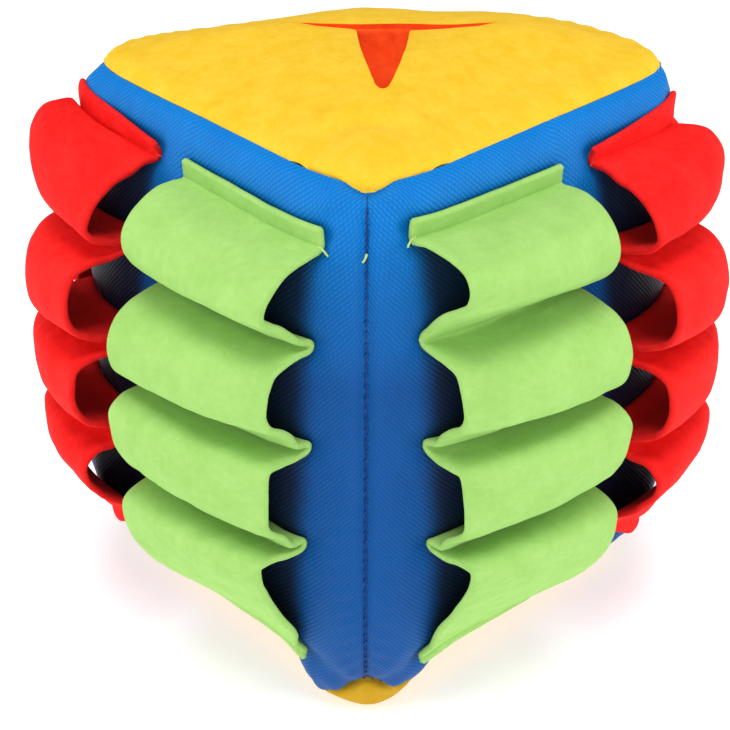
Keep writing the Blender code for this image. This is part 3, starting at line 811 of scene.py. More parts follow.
def build_side(face, k):
    s = ease(112, 0.22)
    t = (ease(124, 0.20) + 1) / 2
    T, S = np.meshgrid(t, s, indexing="ij")
    C = corner_at(T)
    Q = S * C
    P = on_side(face, Q, T)
    middle = P.mean((0, 1))
    N = facing(P, grid_normals(P), P - np.array([0, 0, middle[2]]))
    # right at the upright seams the cloth moves along the diagonal, on both sides alike
    diag = np.where((Q < 0)[..., None], P[:, :1], P[:, -1:]) * np.array([1, 1, 0])
    diag = diag / np.linalg.norm(diag, axis=-1, keepdims=True)
    diag = diag * np.hypot(N[..., 0], N[..., 1])[..., None] + N * np.array([0, 0, 1])
    share = bell(C - np.abs(Q), 3.5)[..., None]
    N = N * (1 - share) + diag * share
    N /= np.linalg.norm(N, axis=-1, keepdims=True)
    P = P + N * side_relief(face, Q, T, k)[..., None]
    if face in ("back", "left"):
        # behind the side corners the edge is pulled down a little
        up = (1 - T) * (SEAM_HIGH - SEAM_LOW)
        P[..., 2] -= 1.3 * bell(C + Q, 8.0) * bell(up, 3.5)
    N = facing(P, grid_normals(P), P - np.array([0, 0, middle[2]]))
    u, v = arc_lengths(P)
    # turn the seam allowances in
    inward = -N
    def add_col(P, col, reach, share):
        base = P[:, col]
        axis = base * np.array([1, 1, 0])
        axis /= np.linalg.norm(axis, axis=1, keepdims=True)
        return base - axis * reach

    left = [add_col(P, 0, r, 0) for r in (3.4, 1.7)]
    right = [add_col(P, -1, r, 0) for r in (1.7, 3.4)]
    P2 = np.concatenate([np.stack(left, 1), P, np.stack(right, 1)], 1)
    u2 = np.concatenate([u[:, :1] - 3.4, u[:, :1] - 1.7, u, u[:, -1:] + 1.7, u[:, -1:] + 3.4], 1)
    v2 = np.concatenate([v[:, :1]] * 2 + [v] + [v[:, -1:]] * 2, 1)

    def add_row(P, row, drop):
        base = P[row]
        axis = base * np.array([1, 1, 0])
        axis /= np.linalg.norm(axis, axis=1, keepdims=True)
        return base - axis * 2.2 * abs(drop) / 2.0 + np.array([0, 0, -drop * 0.9])

    top = [add_row(P2, -1, 1.6), add_row(P2, -1, 3.2)]
    low = [add_row(P2, 0, -3.2), add_row(P2, 0, -1.6)]
    P3 = np.concatenate([np.stack(low), P2, np.stack(top)], 0)
    u3 = np.concatenate([u2[:1]] * 2 + [u2] + [u2[-1:]] * 2, 0)
    v3 = np.concatenate([v2[:1] - 3.2, v2[:1] - 1.6, v2, v2[-1:] + 1.6, v2[-1:] + 3.2], 0)
    N3 = grid_normals(P3)
    N3 = facing(P3, N3, P3 - np.array([0, 0, middle[2]]))
    UV = np.stack([u3, v3], -1)
    obj = shell(face + "_cover", P3, N3, 0.75, [M["blue"]], UV, round_rim=(0, 0, 0, 0), angle=70)
    # sets the mask for the painted shade under the loops
    paint_shade_under(obj, face)
    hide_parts(face + "_panel")
    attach(obj, "cube")
    return obj


covers = {face: build_side(face, k) for k, face in enumerate(FACES)}


# ======================================================================
# felt strips
# ======================================================================
# Middle line of the felt in each loop, from the upper sewn line to the lower
# one: (height, distance out of the side), at the strip's near and far edge.
GREEN_NEAR_LEFT = (
    ((159, 4), (158.1, 8), (156.4, 11.7), (153.4, 14.5), (149.9, 16.6), (146.1, 16.6),
     (143.4, 13.4), (141.3, 9.9), (138.6, 6.8), (135.9, 3.7)),
    ((131.8, 4.2), (131.1, 8.3), (129.4, 12), (125.5, 13.4), (121.4, 14), (117.2, 14.3),
     (113.6, 12.4), (111.2, 9), (108.3, 6), (104.8, 3.8)),
    ((100.9, 4.5), (101.2, 9), (100.9, 13.4), (96.6, 14.4), (92.1, 14.4), (87.6, 14.5),
     (83.1, 13.9), (79.8, 10.9), (77.1, 7.3), (73.7, 4.4)),
    ((70.8, 5.5), (72.2, 10.8), (71.9, 15.8), (66.8, 15.6), (61.8, 13.4), (56.9, 11),
     (52, 8.5), (47.2, 5.9), (42.2, 3.7), (36.8, 2.6)),
)
GREEN_NEAR_RIGHT = (
    ((163.1, 4.6), (162.6, 9.2), (161.9, 13.8), (160, 17.9), (155.7, 19.1), (151.4, 17.5),
     (148.6, 13.8), (146.3, 9.8), (143.4, 6.2), (140, 3)),
    ((133.3, 4), (132.4, 8.2), (130.8, 12), (126.9, 13.4), (122.7, 14), (118.5, 14.3),
     (114.8, 12.5), (112.2, 9.2), (109.3, 6.2), (105.8, 3.8)),
    ((101.1, 4.3), (101.1, 8.8), (101, 13.3), (96.8, 14.4), (92.2, 14.4), (87.7, 14.5),
     (83.2, 13.9), (79.9, 11), (77.2, 7.4), (73.7, 4.5)),
    ((70.8, 5.5), (72.2, 10.8), (71.9, 15.9), (66.7, 15.5), (61.6, 13.3), (56.7, 10.8),
     (51.8, 8.4), (46.9, 5.7), (41.8, 3.6), (36.4, 2.4)),
)
GREEN_FAR = (
    ((161.4, 4.4), (161.1, 8.9), (159.4, 13), (156.4, 16.2), (152.3, 17.8), (147.9, 17.4),
     (144.1, 15.1), (141, 12), (138.5, 8.3), (136.7, 4.3)),
    ((133, 5), (132.1, 9.9), (130.4, 14.7), (127.3, 18.5), (122.6, 20.2), (117.6, 19.8),
     (113, 18.1), (109.6, 14.4), (107.7, 9.8), (106.7, 4.9)),
    ((103.7, 5.3), (103.6, 10.7), (103.2, 16), (100.3, 20), (95, 20.1), (89.7, 19.1),
     (84.8, 17.1), (80.2, 14.4), (76.8, 10.3), (75.3, 5.2)),
    ((72.3, 6.4), (72, 12.8), (69.4, 18.3), (63.1, 19.3), (56.8, 18.7), (50.5, 17.2),
     (44.6, 14.8), (38.9, 11.9), (33.4, 8.6), (28.5, 4.6)),
)
RED_NEAR = (
    ((163, 4.5), (161.2, 8.9), (160.2, 13.6), (157.6, 17.7), (153.9, 20.7), (149.3, 21.5),
     (145.9, 18.5), (144, 14.1), (142.4, 9.6), (141.9, 4.8)),
    ((139.4, 6.2), (138.8, 12.4), (139.1, 18.5), (137.7, 24.1), (132, 26.4), (125.8, 25.9),
     (120.4, 22.9), (116.9, 17.9), (114.6, 12.1), (112.8, 6.1)),
    ((110.4, 5.8), (109.6, 11.7), (109.8, 17.6), (108, 23.1), (102.5, 24.5), (96.6, 23.8),
     (91.3, 21.3), (87.7, 16.6), (85, 11.3), (82.6, 5.9)),
    ((80.1, 6.1), (78.5, 12), (78.9, 18.1), (75.6, 22.9), (69.6, 22.8), (64.2, 19.8),
     (59.4, 16.1), (55.3, 11.5), (50.6, 7.6), (45.4, 4.3)),
)
RED_FAR = (
    ((168.1, 5.2), (169, 10.4), (168.7, 15.5), (164.5, 18.7), (159.2, 18.5), (154, 17.3),
     (149, 15.6), (144.3, 13.2), (140.2, 9.9), (137.7, 5.2)),
    ((134.3, 5.2), (134.4, 10.4), (132.8, 15.4), (129.1, 19), (124.1, 20.5), (118.9, 20.7),
     (113.9, 19.6), (110.8, 15.6), (110, 10.4), (109.7, 5.2)),
    ((106.8, 5.3), (106.7, 10.7), (106.4, 16), (103.2, 20), (97.9, 20.4), (92.5, 20),
     (87.3, 18.9), (83.1, 15.8), (81.7, 10.6), (80.9, 5.3)),
    ((78.3, 6.9), (78.7, 13.7), (75.4, 18.6), (68.5, 17.8), (61.7, 14.0), (55.1, 9.8),
     (48.7, 6.6), (42.4, 4.6), (36.2, 2.8), (30.2, 1.7)),
)


def lowered(loops, rows, to, keep):
    """The same loops between other sewn lines, and less deep."""
    out = []
    for k, loop in enumerate(loops):
        f = (to[k] - to[k + 1]) / (rows[k] - rows[k + 1])
        out.append(tuple((to[k + 1] + (z - rows[k + 1]) * f, o * keep[k]) for z, o in loop))
    return tuple(out)


RED_RIGHT = lowered(RED_FAR, (168.0,) + RED_ROWS[0][1][1:], RED_ROWS[1][1], (0.92, 1.0, 1.0, 1.0))
RED_LOW = (lowered(RED_NEAR, RED_ROWS[0][0], RED_ROWS[2][0], (0.85, 0.95, 1.0, 1.06)),
           lowered(RED_FAR, (168.0,) + RED_ROWS[0][1][1:], RED_ROWS[2][1], (0.58, 0.80, 0.92, 1.15)))
LOOPS = {"green": ((GREEN_NEAR_LEFT, GREEN_FAR), (GREEN_NEAR_RIGHT, GREEN_FAR)) * 2,
         "red": ((RED_NEAR, RED_FAR), (RED_NEAR, RED_RIGHT), RED_LOW, RED_LOW)}


def spline(points, n):
    """Centripetal Catmull-Rom through points, n samples a span, ends clamped."""
    p = np.asarray(points, float)
    p = np.concatenate([[2 * p[0] - p[1]], p, [2 * p[-1] - p[-2]]])
    out = []
    for k in range(1, len(p) - 2):
        p0, p1, p2, p3 = p[k - 1:k + 3]
        t0 = 0.0
        t1 = t0 + np.linalg.norm(p1 - p0) ** 0.5
        t2 = t1 + np.linalg.norm(p2 - p1) ** 0.5
        t3 = t2 + np.linalg.norm(p3 - p2) ** 0.5
        t = np.linspace(t1, t2, n, endpoint=False)[:, None]
        a1 = (t1 - t) / (t1 - t0) * p0 + (t - t0) / (t1 - t0) * p1
        a2 = (t2 - t) / (t2 - t1) * p1 + (t - t1) / (t2 - t1) * p2
        a3 = (t3 - t) / (t3 - t2) * p2 + (t - t2) / (t3 - t2) * p3
        b1 = (t2 - t) / (t2 - t0) * a1 + (t - t0) / (t2 - t0) * a2
        b2 = (t3 - t) / (t3 - t1) * a2 + (t - t1) / (t3 - t1) * a3
        out.append((t2 - t) / (t2 - t1) * b1 + (t - t1) / (t2 - t1) * b2)
    out.append(p[-2:-1])
    return np.concatenate(out)


def strip_run(loops, rows, hem, flare, low, jitter):
    """(height, out) from the upper hem to the lower one."""
    pts = [(rows[0] + hem, flare), (rows[0] + hem * 0.55, flare * 0.35), (rows[0] + 1.0, 0.0)]
    for k, (a, b) in enumerate(zip(rows[:-1], rows[1:])):
        pts.append((a - 0.9, 0.0))
        for m, (z, out) in enumerate(loops[k]):
            pts.append((z, out * (1 + jitter[k][m])))
        pts.append((b + 0.9, 0.0))
    pts += [(rows[-1] - 1.0, 0.0), (rows[-1] - low * 0.6, low * 0.2), (rows[-1] - low, low * 0.4)]
    return spline(pts, 5)


def build_strip(face, colour, k):
    rng = np.random.default_rng(100 + k)
    q0, q1 = GREEN if colour == "green" else RED
    shown = face in ("front", "right")
    amount = 0.0 if shown else 0.07
    jit = [[rng.uniform(-amount, amount)] * 10 for _ in range(4)]
    rows_a, rows_b = ROWS[colour][LOOK[face]]
    loops_a, loops_b = LOOPS[colour][LOOK[face]]
    near_hem, far_hem, near_flare, far_flare = HEM, HEM, 1.2, 1.2
    if colour == "red":
        near_hem, near_flare = 3.3, 1.7
        far_hem, far_flare = (8.0, 1.0) if shown else (HEM, 1.0)
    a = strip_run(loops_a, rows_a, near_hem, near_flare, 2.4, jit)
    b = strip_run(loops_b, rows_b, far_hem, far_flare, HEM, jit)
    cols = 34
    w = (ease(cols, 0.12) + 1) / 2
    W, _ = np.meshgrid(w, np.arange(len(a)))
    Z = a[:, 0][:, None] * (1 - W) + b[:, 0][:, None] * W
    O = a[:, 1][:, None] * (1 - W) + b[:, 1][:, None] * W
    Q = q0 * (1 - W) + q1 * W
    if colour == "red" and not shown:
        Q = Q + 5.5 * W * bell(Z - rows_b[0], 16.0)
    if shown:
        # the ends of the strip are a little narrower than its middle
        if colour == "red":
            Q = Q + 2.6 * W * bell(Z - rows_b[0] - 3.0, 8.0)
        else:
            Q = Q - (3.4 if face == "front" else 1.0) * (1 - W) * smooth(Z, 46.0, 30.0)
    # loops billow a little between the strip's edges
    lift = np.clip(O / 14.0, 0, 1)
    O = O + 0.6 * lift * np.sin(math.pi * W) + 0.7 * lift * fbm(Q / 17 + 7 * k, Z / 15, 50 + k)
    Z = Z - 0.5 * lift * fbm(Q / 14 + 3 * k, Z / 20, 70 + k)
    t = (Z - SEAM_LOW) / (SEAM_HIGH - SEAM_LOW)
    pushed = (1 - 0.9 * smooth(O, 1.0, 9.0))[..., None]
    P = on_side(face, Q, t, O) * pushed + on_side(face, Q, t, O, plain=True) * (1 - pushed)
    # cut edges wander a little
    sway = 0.5 * noise(Z / 11, np.full_like(Z, 3.0 + k), 90 + k)
    lateral = np.array(to_world(face, SIDE_SIGN[face], 0.0) + (0.0,))
    P = P + lateral * ((bell(W, 0.12) - bell(1 - W, 0.12)) * sway)[..., None]
    centre = np.array(to_world(face, 0.0, 1.0) + (0.0,))
    N = grid_normals(P)
    if float((N[:4] * centre).sum(-1).mean()) < 0:
        N = -N
    u = np.broadcast_to((Q - q0)[None], (1,) + Q.shape)[0]
    seg = np.linalg.norm(np.diff(P, axis=0), axis=2)
    v = np.concatenate([np.zeros((1, cols)), np.cumsum(seg, axis=0)], 0)
    v = np.broadcast_to(v.mean(1, keepdims=True), v.shape)
    # gathers at the sewn lines, and the nap's unevenness
    line = [rows_a[j] * (1 - W) + rows_b[j] * W for j in range(5)]
    near_row = sum(bell(Z - row, 4.5) for row in line)
    gather = np.sin(2 * math.pi * (Q / 8.7 + 0.6 * noise(Q / 12, v / 40, 60 + k)))
    crease = sum(bell(Z - row, 0.8) * (np.abs(O) < 0.8) for row in line)
    P = P + N * (0.22 * gather * near_row * lift + 0.16 * fbm(u / 6 + k, v / 6, 80 + k, 2)
                 - 0.30 * crease)[..., None]
    N2 = grid_normals(P)
    N = N2 if float((N2 * N).sum(-1).mean()) > 0 else -N2
    UV = np.stack([u + 80.0 * k, v], -1)
    mats = [M[colour], M[colour + "_edge"]]
    obj = shell("%s_%s_felt" % (face, colour), P, N, FELT, mats, UV, centre=0.5, rim_mat=1, angle=80)
    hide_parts("%s_%s_strip" % (face, colour))
    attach(obj, "cube")
    length = float(v[-1, 0])
    sewn = [int(np.argmin(np.abs(a[:, 0] - row) + 3.0 * np.abs(a[:, 1]))) for row in rows_a]
    return {"obj": obj, "P": P, "N": N, "sewn": sewn, "length": length}


felt = {}
for k, face in enumerate(FACES):
    for m, colour in enumerate(("green", "red")):
        felt[face, colour] = build_strip(face, colour, 2 * k + m)


# ---- the stitches that hold the strips ---------------------------------
def tail(start, heading, length, seed, radius=0.34):
    """A short thread end that curls away."""
    rng = np.random.default_rng(seed)
    w = np.linspace(0, 1, 10)[:, None]
    side = np.cross(heading, rng.normal(size=3))
    side /= np.linalg.norm(side)
    p = np.asarray(start) + heading * w * length + side * (w ** 2) * length * 0.35
    return tube(p, radius * (1 - 0.25 * w[:, 0]), 7)


def build_hem_stitches(face, colour, k):
    info = felt[face, colour]
    P, N = info["P"], info["N"]
    runs, extra = [], []
    for i in info["sewn"]:
        pts = P[i, 1:-1] + N[i, 1:-1] * (FELT / 2 - 0.20)
        runs.append((pts, N[i, 1:-1]))
    top = runs[0][0]
    head = top[0] - top[4]
    head /= np.linalg.norm(head)
    n = runs[0][1][0]
    if colour == "green" or face in ("front", "right"):
        extra.append(tail(top[0] + head * 0.6, head * 0.93 + n * 0.1 + np.array([0, 0, -0.35]),
                          3.6 if colour == "green" else 2.2, 5 + k))
    second = runs[1][0]
    head2 = second[0] - second[4]
    head2 /= np.linalg.norm(head2)
    extra.append(tail(second[0] + head2 * 0.4, head2 * 0.95 + np.array([0, 0, 0.2]), 1.9, 9 + k, 0.26))
    if (face, colour) == ("front", "green"):
        # a loose thread end in the upright seam at the near corner
        t = (161.6 - SEAM_LOW) / (SEAM_HIGH - SEAM_LOW)
        spot = on_side("front", corner_at(np.array(t)), t) - np.array([0.4, -0.4, 0.0])
        extra.append(tail(spot, np.array([0.35, -0.45, -0.75]), 2.4, 77, 0.32))
    obj = stitches("%s_%s_stitches" % (face, colour), runs, M["pale"] if colour == "green" else M["rust"],
                   2.6, 1.3, 0.22, -0.04, 200 + k, extra)
    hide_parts("%s_%s_hem_thread" % (face, colour))
    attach(obj, "cube")
    return obj


for k, face in enumerate(FACES):
    for m, colour in enumerate(("green", "red")):
        build_hem_stitches(face, colour, 2 * k + m)


# ======================================================================
# top panel, tongues and pocket
# ======================================================================
def seam_outline(t, n_side=40, plain=False):
    """The seam square at a level, once round, starting at the near corner."""
    pts = []
    c = float(corner_at(np.array(t)))
    for face in FACES:
        w = ease(n_side + 1, 0.35) * c
        run = on_side(face, w, np.full_like(w, t), plain=plain)
        if face in ("front", "back"):
            run = run[:-1]
        else:
            run = run[::-1][:-1]
        pts.append(run)
    return np.concatenate(pts)


A3, B3, E3 = (np.array(p) for p in (SLIT_A, SLIT_B, ARM_END))


def hinge_in(edge, p):
    """Distance of plan points inside a hinge line."""
    a, b = edge
    d = (b - a) / np.linalg.norm(b - a)
    n = np.array([-d[1], d[0]])
    return (p - a) @ n


def plan_relief(x, y):
    """Softness of the top: gentle dents, rings round the near corner, lips."""
    rho = top_rho(x, y)
    up = (1 - rho) * SEAM_HALF
    d = 0.55 * fbm(x / 30, y / 30, 140) * smooth(up, 1, 10)
    d += 0.10 * fbm(x / 9, y / 9, 141, 2) * smooth(up, 1, 6)
    near = np.hypot(x - 62.0, y + 62.0)
    wave = np.sin(2 * math.pi * (near / 10.5) + 0.8)
    d += 0.22 * wave * bell(near - 30, 12) * smooth(near, 3, 9)
    # a full fold of cloth pushed forward over the near corner
    p = (x - y) / math.sqrt(2)
    w = (x + y) / math.sqrt(2)
    r = np.hypot(w / 13.5, (84.0 - p) / 24.0)
    d += -0.9 * bell(r - 1.02, 0.17) + 0.6 * bell(r - 1.40, 0.22)
    d += 2.6 * bell(np.hypot(w / 12.0, (74.5 - p) / 9.5), 0.9) * smooth(up, 0.0, 4.5)
    # the cloth stands up round just inside the seam, all but at the near corner
    d += 1.3 * bell(up - 5.0, 4.5) * smooth(y - x, -80.0, -20.0)
    far = smooth(y - x, 30.0, 60.0)
    d += (0.9 * bell(w - 35.0, 14.0) - 0.8 * bell(w - 7.0, 14.0)) * far
    d += -0.5 * bell(up, 1.6) - 0.25 * bell(up, 5)
    e = np.minimum(np.abs(x), np.abs(y)) / np.maximum(rho, 0.2)
    along = np.where(np.abs(x) > np.abs(y), y, x)
    d += 0.24 * np.sin(2 * math.pi * (along / 7.4 + 0.7 * noise(along / 25, np.sign(x) + 2 * np.sign(y), 9))) * bell(up - 4, 3.2)
    # the far lip rolls into the pocket
    s = (x - y + 7.0) / math.sqrt(2)
    w = (x + y) / math.sqrt(2) - SLIT_MID
    d += -0.5 * np.exp(-np.maximum(-s, 0.0) / 3.6) * smooth(SLIT_HALF - np.abs(w), 0, 14) * np.where(s < 0.4, 1, 0)
    return d


def lip_line(n):
    """The far lip of the cut, from B back to A."""
    w = np.linspace(1, 0, n)[:, None]
    p = A3 * (1 - w) + B3 * w
    bow = 4 * w * (1 - w)
    away = np.array([-1, 1]) / math.sqrt(2)
    return p + away * bow * 0.55


def v_width(s):
    """Half width of the open V at distance s from the slit."""
    s = np.asarray(s, float)
    return np.interp(s, [0, 1.2, 3, 10, 20, 32, 42, 46, 48.3, 49.5, 50.1],
                     [8.9, 8.4, 8.15, 7.7, 6.8, 5.1, 3.3, 2.35, 1.6, 0.9, 0.0])


def v_point(side, s):
    sgn = -1.0 if side == "front" else 1.0
    along, into = np.array([1, 1]) / math.sqrt(2), np.array([1, -1]) / math.sqrt(2)
    s = np.asarray(s, float)[..., None]
    reach = 1.34 + 0.025 * s + sgn * v_width(s)
    return np.array([-3.5, 3.5]) + along * reach + into * s


def v_end(side):
    """Where a tongue's fold line meets the V, and the V's rounded end from there."""
    start = A3 if side == "front" else B3
    s = np.linspace(38.0, 50.0, 400)
    d = (E3 - start) / np.linalg.norm(E3 - start)
    off = v_point(side, s) - start
    far = np.abs(off[:, 0] * d[1] - off[:, 1] * d[0])
    k = int(np.argmin(far[:360]))
    run = v_point(side, np.concatenate([np.linspace(s[k], 49.4, 14)[:-1], np.linspace(49.4, 50.1, 8)]))
    run[0] = start + d * float(off[k] @ d)
    return run[0], run


def build_top():
    (left, tip_l), (right, tip_r) = v_end("front"), v_end("right")
    h1 = A3 + (left - A3) * np.linspace(0, 1, 56)[:, None]
    h2 = right + (B3 - right) * np.linspace(0, 1, 56)[:, None]
    h1 = np.concatenate([h1[:-1], tip_l[:-1]])
    h2 = np.concatenate([tip_r[::-1][:-1], h2])
    h1 = np.concatenate([h1, tip_l[-1:]])
    lip = lip_line(91)
    inner = np.concatenate([h1[:-1], h2[:-1], lip[:-1]])
    c = np.array([11.2, -5.4])
    seam = seam_outline(1.0, 120, True)[:, :2]
    ang_s = np.unwrap(np.arctan2(seam[:, 1] - c[1], seam[:, 0] - c[0]))
    order = np.argsort(ang_s % (2 * math.pi))
    ang_s, seam = (ang_s % (2 * math.pi))[order], seam[order]
    ang_i = np.arctan2(inner[:, 1] - c[1], inner[:, 0] - c[0]) % (2 * math.pi)
    outer = np.stack([np.interp(ang_i, ang_s, seam[:, k], period=2 * math.pi) for k in (0, 1)], -1)
    r = np.concatenate([np.linspace(0, 0.16, 12)[:-1], np.linspace(0.16, 0.86, 34)[:-1],
                        np.linspace(0.86, 1.0, 12)])
    XY = inner[None] * (1 - r)[:, None, None] + outer[None] * r[:, None, None]
    x, y = XY[..., 0], XY[..., 1]
    z = top_height(x, y) + plan_relief(x, y)
    # the edge is drawn into the seam, and follows the sides where they are pulled in
    push = corner_push(x, y, 1.0)
    up = (1 - top_rho(x, y)) * SEAM_HALF
    spread = np.hypot(x, y)
    corner = bell(np.hypot(np.abs(x) - 60.0, np.abs(y) - 60.0), 4.0) * np.where(x * y < 0, 1.0, 0.0)
    over = bell(np.hypot(x - 60.0, y + 60.0), 9.0)
    held = bell(np.hypot(x - 60.0, y + 60.0), 15.0)
    draw = 1 - (1.36 + np.maximum(0.7 * corner, 0.85 * held)) * bell(up, 1.6) / np.maximum(spread, 1.0)
    draw = draw + over * 4.1 * bell(up - 3.0, 2.3) / np.maximum(spread, 1.0)
    P = np.stack([x * draw + push, y * draw + push, z], -1)
    # turn the seam allowance down inside
    last = P[-1]
    axis = last * np.array([1, 1, 0])
    axis /= np.linalg.norm(axis, axis=1, keepdims=True)
    soft = bell(np.hypot(last[:, 0] - 60.0, last[:, 1] + 60.0), 24.0)[:, None]
    reach, fall = 0.9 + 2.3 * soft, -1.8 + 0.9 * soft
    down = np.array([0, 0, 1.0])
    P = np.concatenate([P, (last - axis * reach + down * fall)[None],
                        (last - axis * (reach + 0.9 + 0.8 * soft) + down * (fall - 2.0))[None]])
    N = grid_normals(P, True)
    N = N if N[..., 2].mean() > 0 else -N
    uv = P[..., :2].copy()
    uv[-2:] += axis[None, :, :2] * np.array([1.8, 3.8])[:, None, None]
    obj = shell("top_cover", P, N, 1.7, [M["yellow"], M["orange"]], uv, wrap=True,
                round_rim=(0, 0, 0, 0), rim_mat=1, angle=60)
    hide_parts("top_panel")
    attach(obj, "cube")
    return obj


def free_edge(side, n):
    """Plan line of a tongue's free edge, from its slit end to the arm end."""
    sgn = -1.0 if side == "front" else 1.0
    end = A3 if side == "front" else B3
    along = np.array([1, 1]) / math.sqrt(2)
    into = np.array([1, -1]) / math.sqrt(2)
    slit_mid = np.array([-3.5, 3.5])
    v_mid = 1.34
    reach = abs(float(end @ along) - v_mid)
    gap = 0.35 if side == "front" else 1.3
    pts = []
    for w in np.linspace(reach, 9.6, 34):
        bow = gap * math.sin(math.pi * min((reach - w) / 26.0, 1.0) * 0.5 if w < reach - 13 else
                             math.pi * (reach - w) / 26.0)
        pts.append(slit_mid + along * (v_mid + sgn * w) + into * (0.15 + bow * 0.9))
    last, _ = v_end(side)
    s = np.linspace(1.1 + gap, float((last - slit_mid) @ into), 64)
    pts += [slit_mid + along * (v_mid + 0.025 * k + sgn * float(v_width(k))) + into * k for k in s]
    pts[0] = end
    pts[-1] = last
    line = np.array(pts)
    seg = np.linalg.norm(np.diff(line, axis=0), axis=1)
    a = np.concatenate([[0], np.cumsum(seg)]) / seg.sum()
    at = np.linspace(0, 1, n)
    return np.stack([np.interp(at, a, line[:, k]) for k in (0, 1)], -1)


def build_tongue(side):
    start = A3 if side == "front" else B3
    n = 121
    base = start + (v_end(side)[0] - start) * np.linspace(0, 1, n)[:, None]
    free = free_edge(side, n)
    r = np.concatenate([np.linspace(0, 0.85, 30)[:-1], np.linspace(0.85, 1, 9)])
    XY = base[None] * (1 - r)[:, None, None] + free[None] * r[:, None, None]
    x, y = XY[..., 0], XY[..., 1]
    # relief without the far lip's roll
    s = (x - y + 7.0) / math.sqrt(2)
    w = (x + y) / math.sqrt(2) - SLIT_MID
    z = top_height(x, y) + plan_relief(x + np.maximum(0.5 - s, 0) * 0.71, y - np.maximum(0.5 - s, 0) * 0.71)
    # the tongue tip sinks a little, and its cut edge droops
    inside = hinge_in((A3, E3), XY) if side == "front" else hinge_in((E3, B3), XY)
    to_edge = 1 - r[:, None]
    z = z - 0.7 * smooth(inside, 3, 18) - 0.3 * bell(to_edge * 10, 1.6) * smooth(inside, 2, 8)
    z = z - (0.7 if side == "front" else 1.0) * bell(s, 3.5) * smooth(SLIT_HALF - np.abs(w), 0, 10)
    P = np.stack([x, y, z], -1)
    N = grid_normals(P)
    N = N if N[..., 2].mean() > 0 else -N
    bad = np.linalg.norm(grid_normals(P), axis=-1) < 0.5
    N[bad] = np.array([0, 0, 1.0])
    N[:, 0], N[:, -1] = N[:, 1], N[:, -2]
    obj = shell("tongue_" + side, P, N, 1.7, [M["yellow"]], XY, round_rim=(0, 1, 0, 0), angle=60)
    d = (E3 - start) / np.linalg.norm(E3 - start)
    nrm = np.array([-d[1], d[0]])
    if ((np.array([11.2, -5.4]) - start) @ nrm) < 0:
        nrm = -nrm
    flap = "flap_" + side
    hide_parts(flap)
    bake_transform(obj)
    return obj


def build_pocket():
    n = 132
    tri = [np.array(p) for p in (SLIT_A, ARM_END, SLIT_B)]
    rings = []
    depth = np.concatenate([np.linspace(0, 0.9, 22), [0.95, 0.985, 1.0]])
    for dep in depth:
        wall = 2.2 - 1.0 * dep - 7.5 * smooth(dep, 0.72, 1.0) ** 2
        slit = 1.0 - 9.0 * smooth(dep, 0.0, 0.9) - 5.0 * smooth(dep, 0.8, 1.0)
        grow = (wall, wall, slit)
        lines = []
        for k in range(3):
            a, b = tri[k], tri[(k + 1) % 3]
            d = (b - a) / np.linalg.norm(b - a)
            lines.append((a + np.array([d[1], -d[0]]) * grow[k], d))
        pts = []
        for k in range(3):
            (p, d), (q, e) = lines[k - 1], lines[k]
            s = np.linalg.solve(np.array([d, -e]).T, q - p)[0]
            pts.append(p + d * s)
        out = []
        for k in range(3):
            a, b, c = pts[k - 1], pts[k], pts[(k + 1) % 3]
            u = (a - b) / np.linalg.norm(a - b)
            w = (c - b) / np.linalg.norm(c - b)
            half = math.acos(float(np.clip(u @ w, -1, 1))) / 2
            rad = 3.0
            reach = rad / math.tan(half)
            mid = b + (u + w) / np.linalg.norm(u + w) * rad / math.sin(half)
            p0, p1 = b + u * reach - mid, b + w * reach - mid
            sweep = math.atan2(p0[0] * p1[1] - p0[1] * p1[0], float(p0 @ p1))
            for s in np.linspace(0, 1, 12):
                ang = sweep * s
                out.append(mid + np.array([p0[0] * math.cos(ang) - p0[1] * math.sin(ang),
                                           p0[0] * math.sin(ang) + p0[1] * math.cos(ang)]))
        out = np.array(out + [out[0]])
        seg = np.linalg.norm(np.diff(out, axis=0), axis=1)
        a = np.concatenate([[0], np.cumsum(seg)]) / seg.sum()
        at = np.linspace(0, 1, n, endpoint=False)
        plan = np.stack([np.interp(at, a, out[:, k]) for k in (0, 1)], -1)
        centre = plan.mean(0)
        ray = plan - centre
        ray /= np.linalg.norm(ray, axis=1, keepdims=True)
        pleat = np.sin(2 * math.pi * (at * 30 + 0.9 * noise(at * 14, np.zeros(n), 5)))
        pleat = 0.55 * pleat * smooth(dep, 0.02, 0.2) * (1 - smooth(dep, 0.8, 1.0))
        plan = plan + ray * pleat[:, None]
        rim = top_height(plan[:, 0], plan[:, 1]) - 2.3
        s = (plan[:, 0] - plan[:, 1] + 7.0) / math.sqrt(2)
        rim = rim - 0.2 * bell(np.maximum(-s, 0) - 1.0, 3.0) * (s < 1)
        bed = SEAM_HIGH + DOME - POCKET_DEPTH
        z = rim * (1 - dep) + bed * dep
        rings.append(np.concatenate([plan, z[:, None]], 1))
    ring = rings[-1]
    mid = ring.mean(0)
    for k in (0.66, 0.33, 0.04):
        p = mid + (ring - mid) * k
        p[:, 2] = ring[:, 2] - 0.3 + 0.5 * fbm(p[:, 0] / 6, p[:, 1] / 6, 77)
        rings.append(p)
    P = np.stack(rings)
    N = grid_normals(P, True)
    out = P - np.array([mid[0], mid[1], mid[2] + 16])
    N = facing(P, N, out)
    seg = np.linalg.norm(np.diff(P, axis=0), axis=2)
    v = np.concatenate([np.zeros((1, n)), np.cumsum(seg, axis=0)], 0)
    u = np.broadcast_to(np.linspace(0, 150, n), v.shape)
    obj = shell("pocket_lining", P, N, 0.9, [M["orange"]], np.stack([u, v], -1), wrap=True,
                round_rim=(1, 0, 0, 0), angle=60)
    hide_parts("pouch_lining")
    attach(obj, "cube")
    return obj


build_top()
build_pocket()
build_tongue("front")
build_tongue("right")


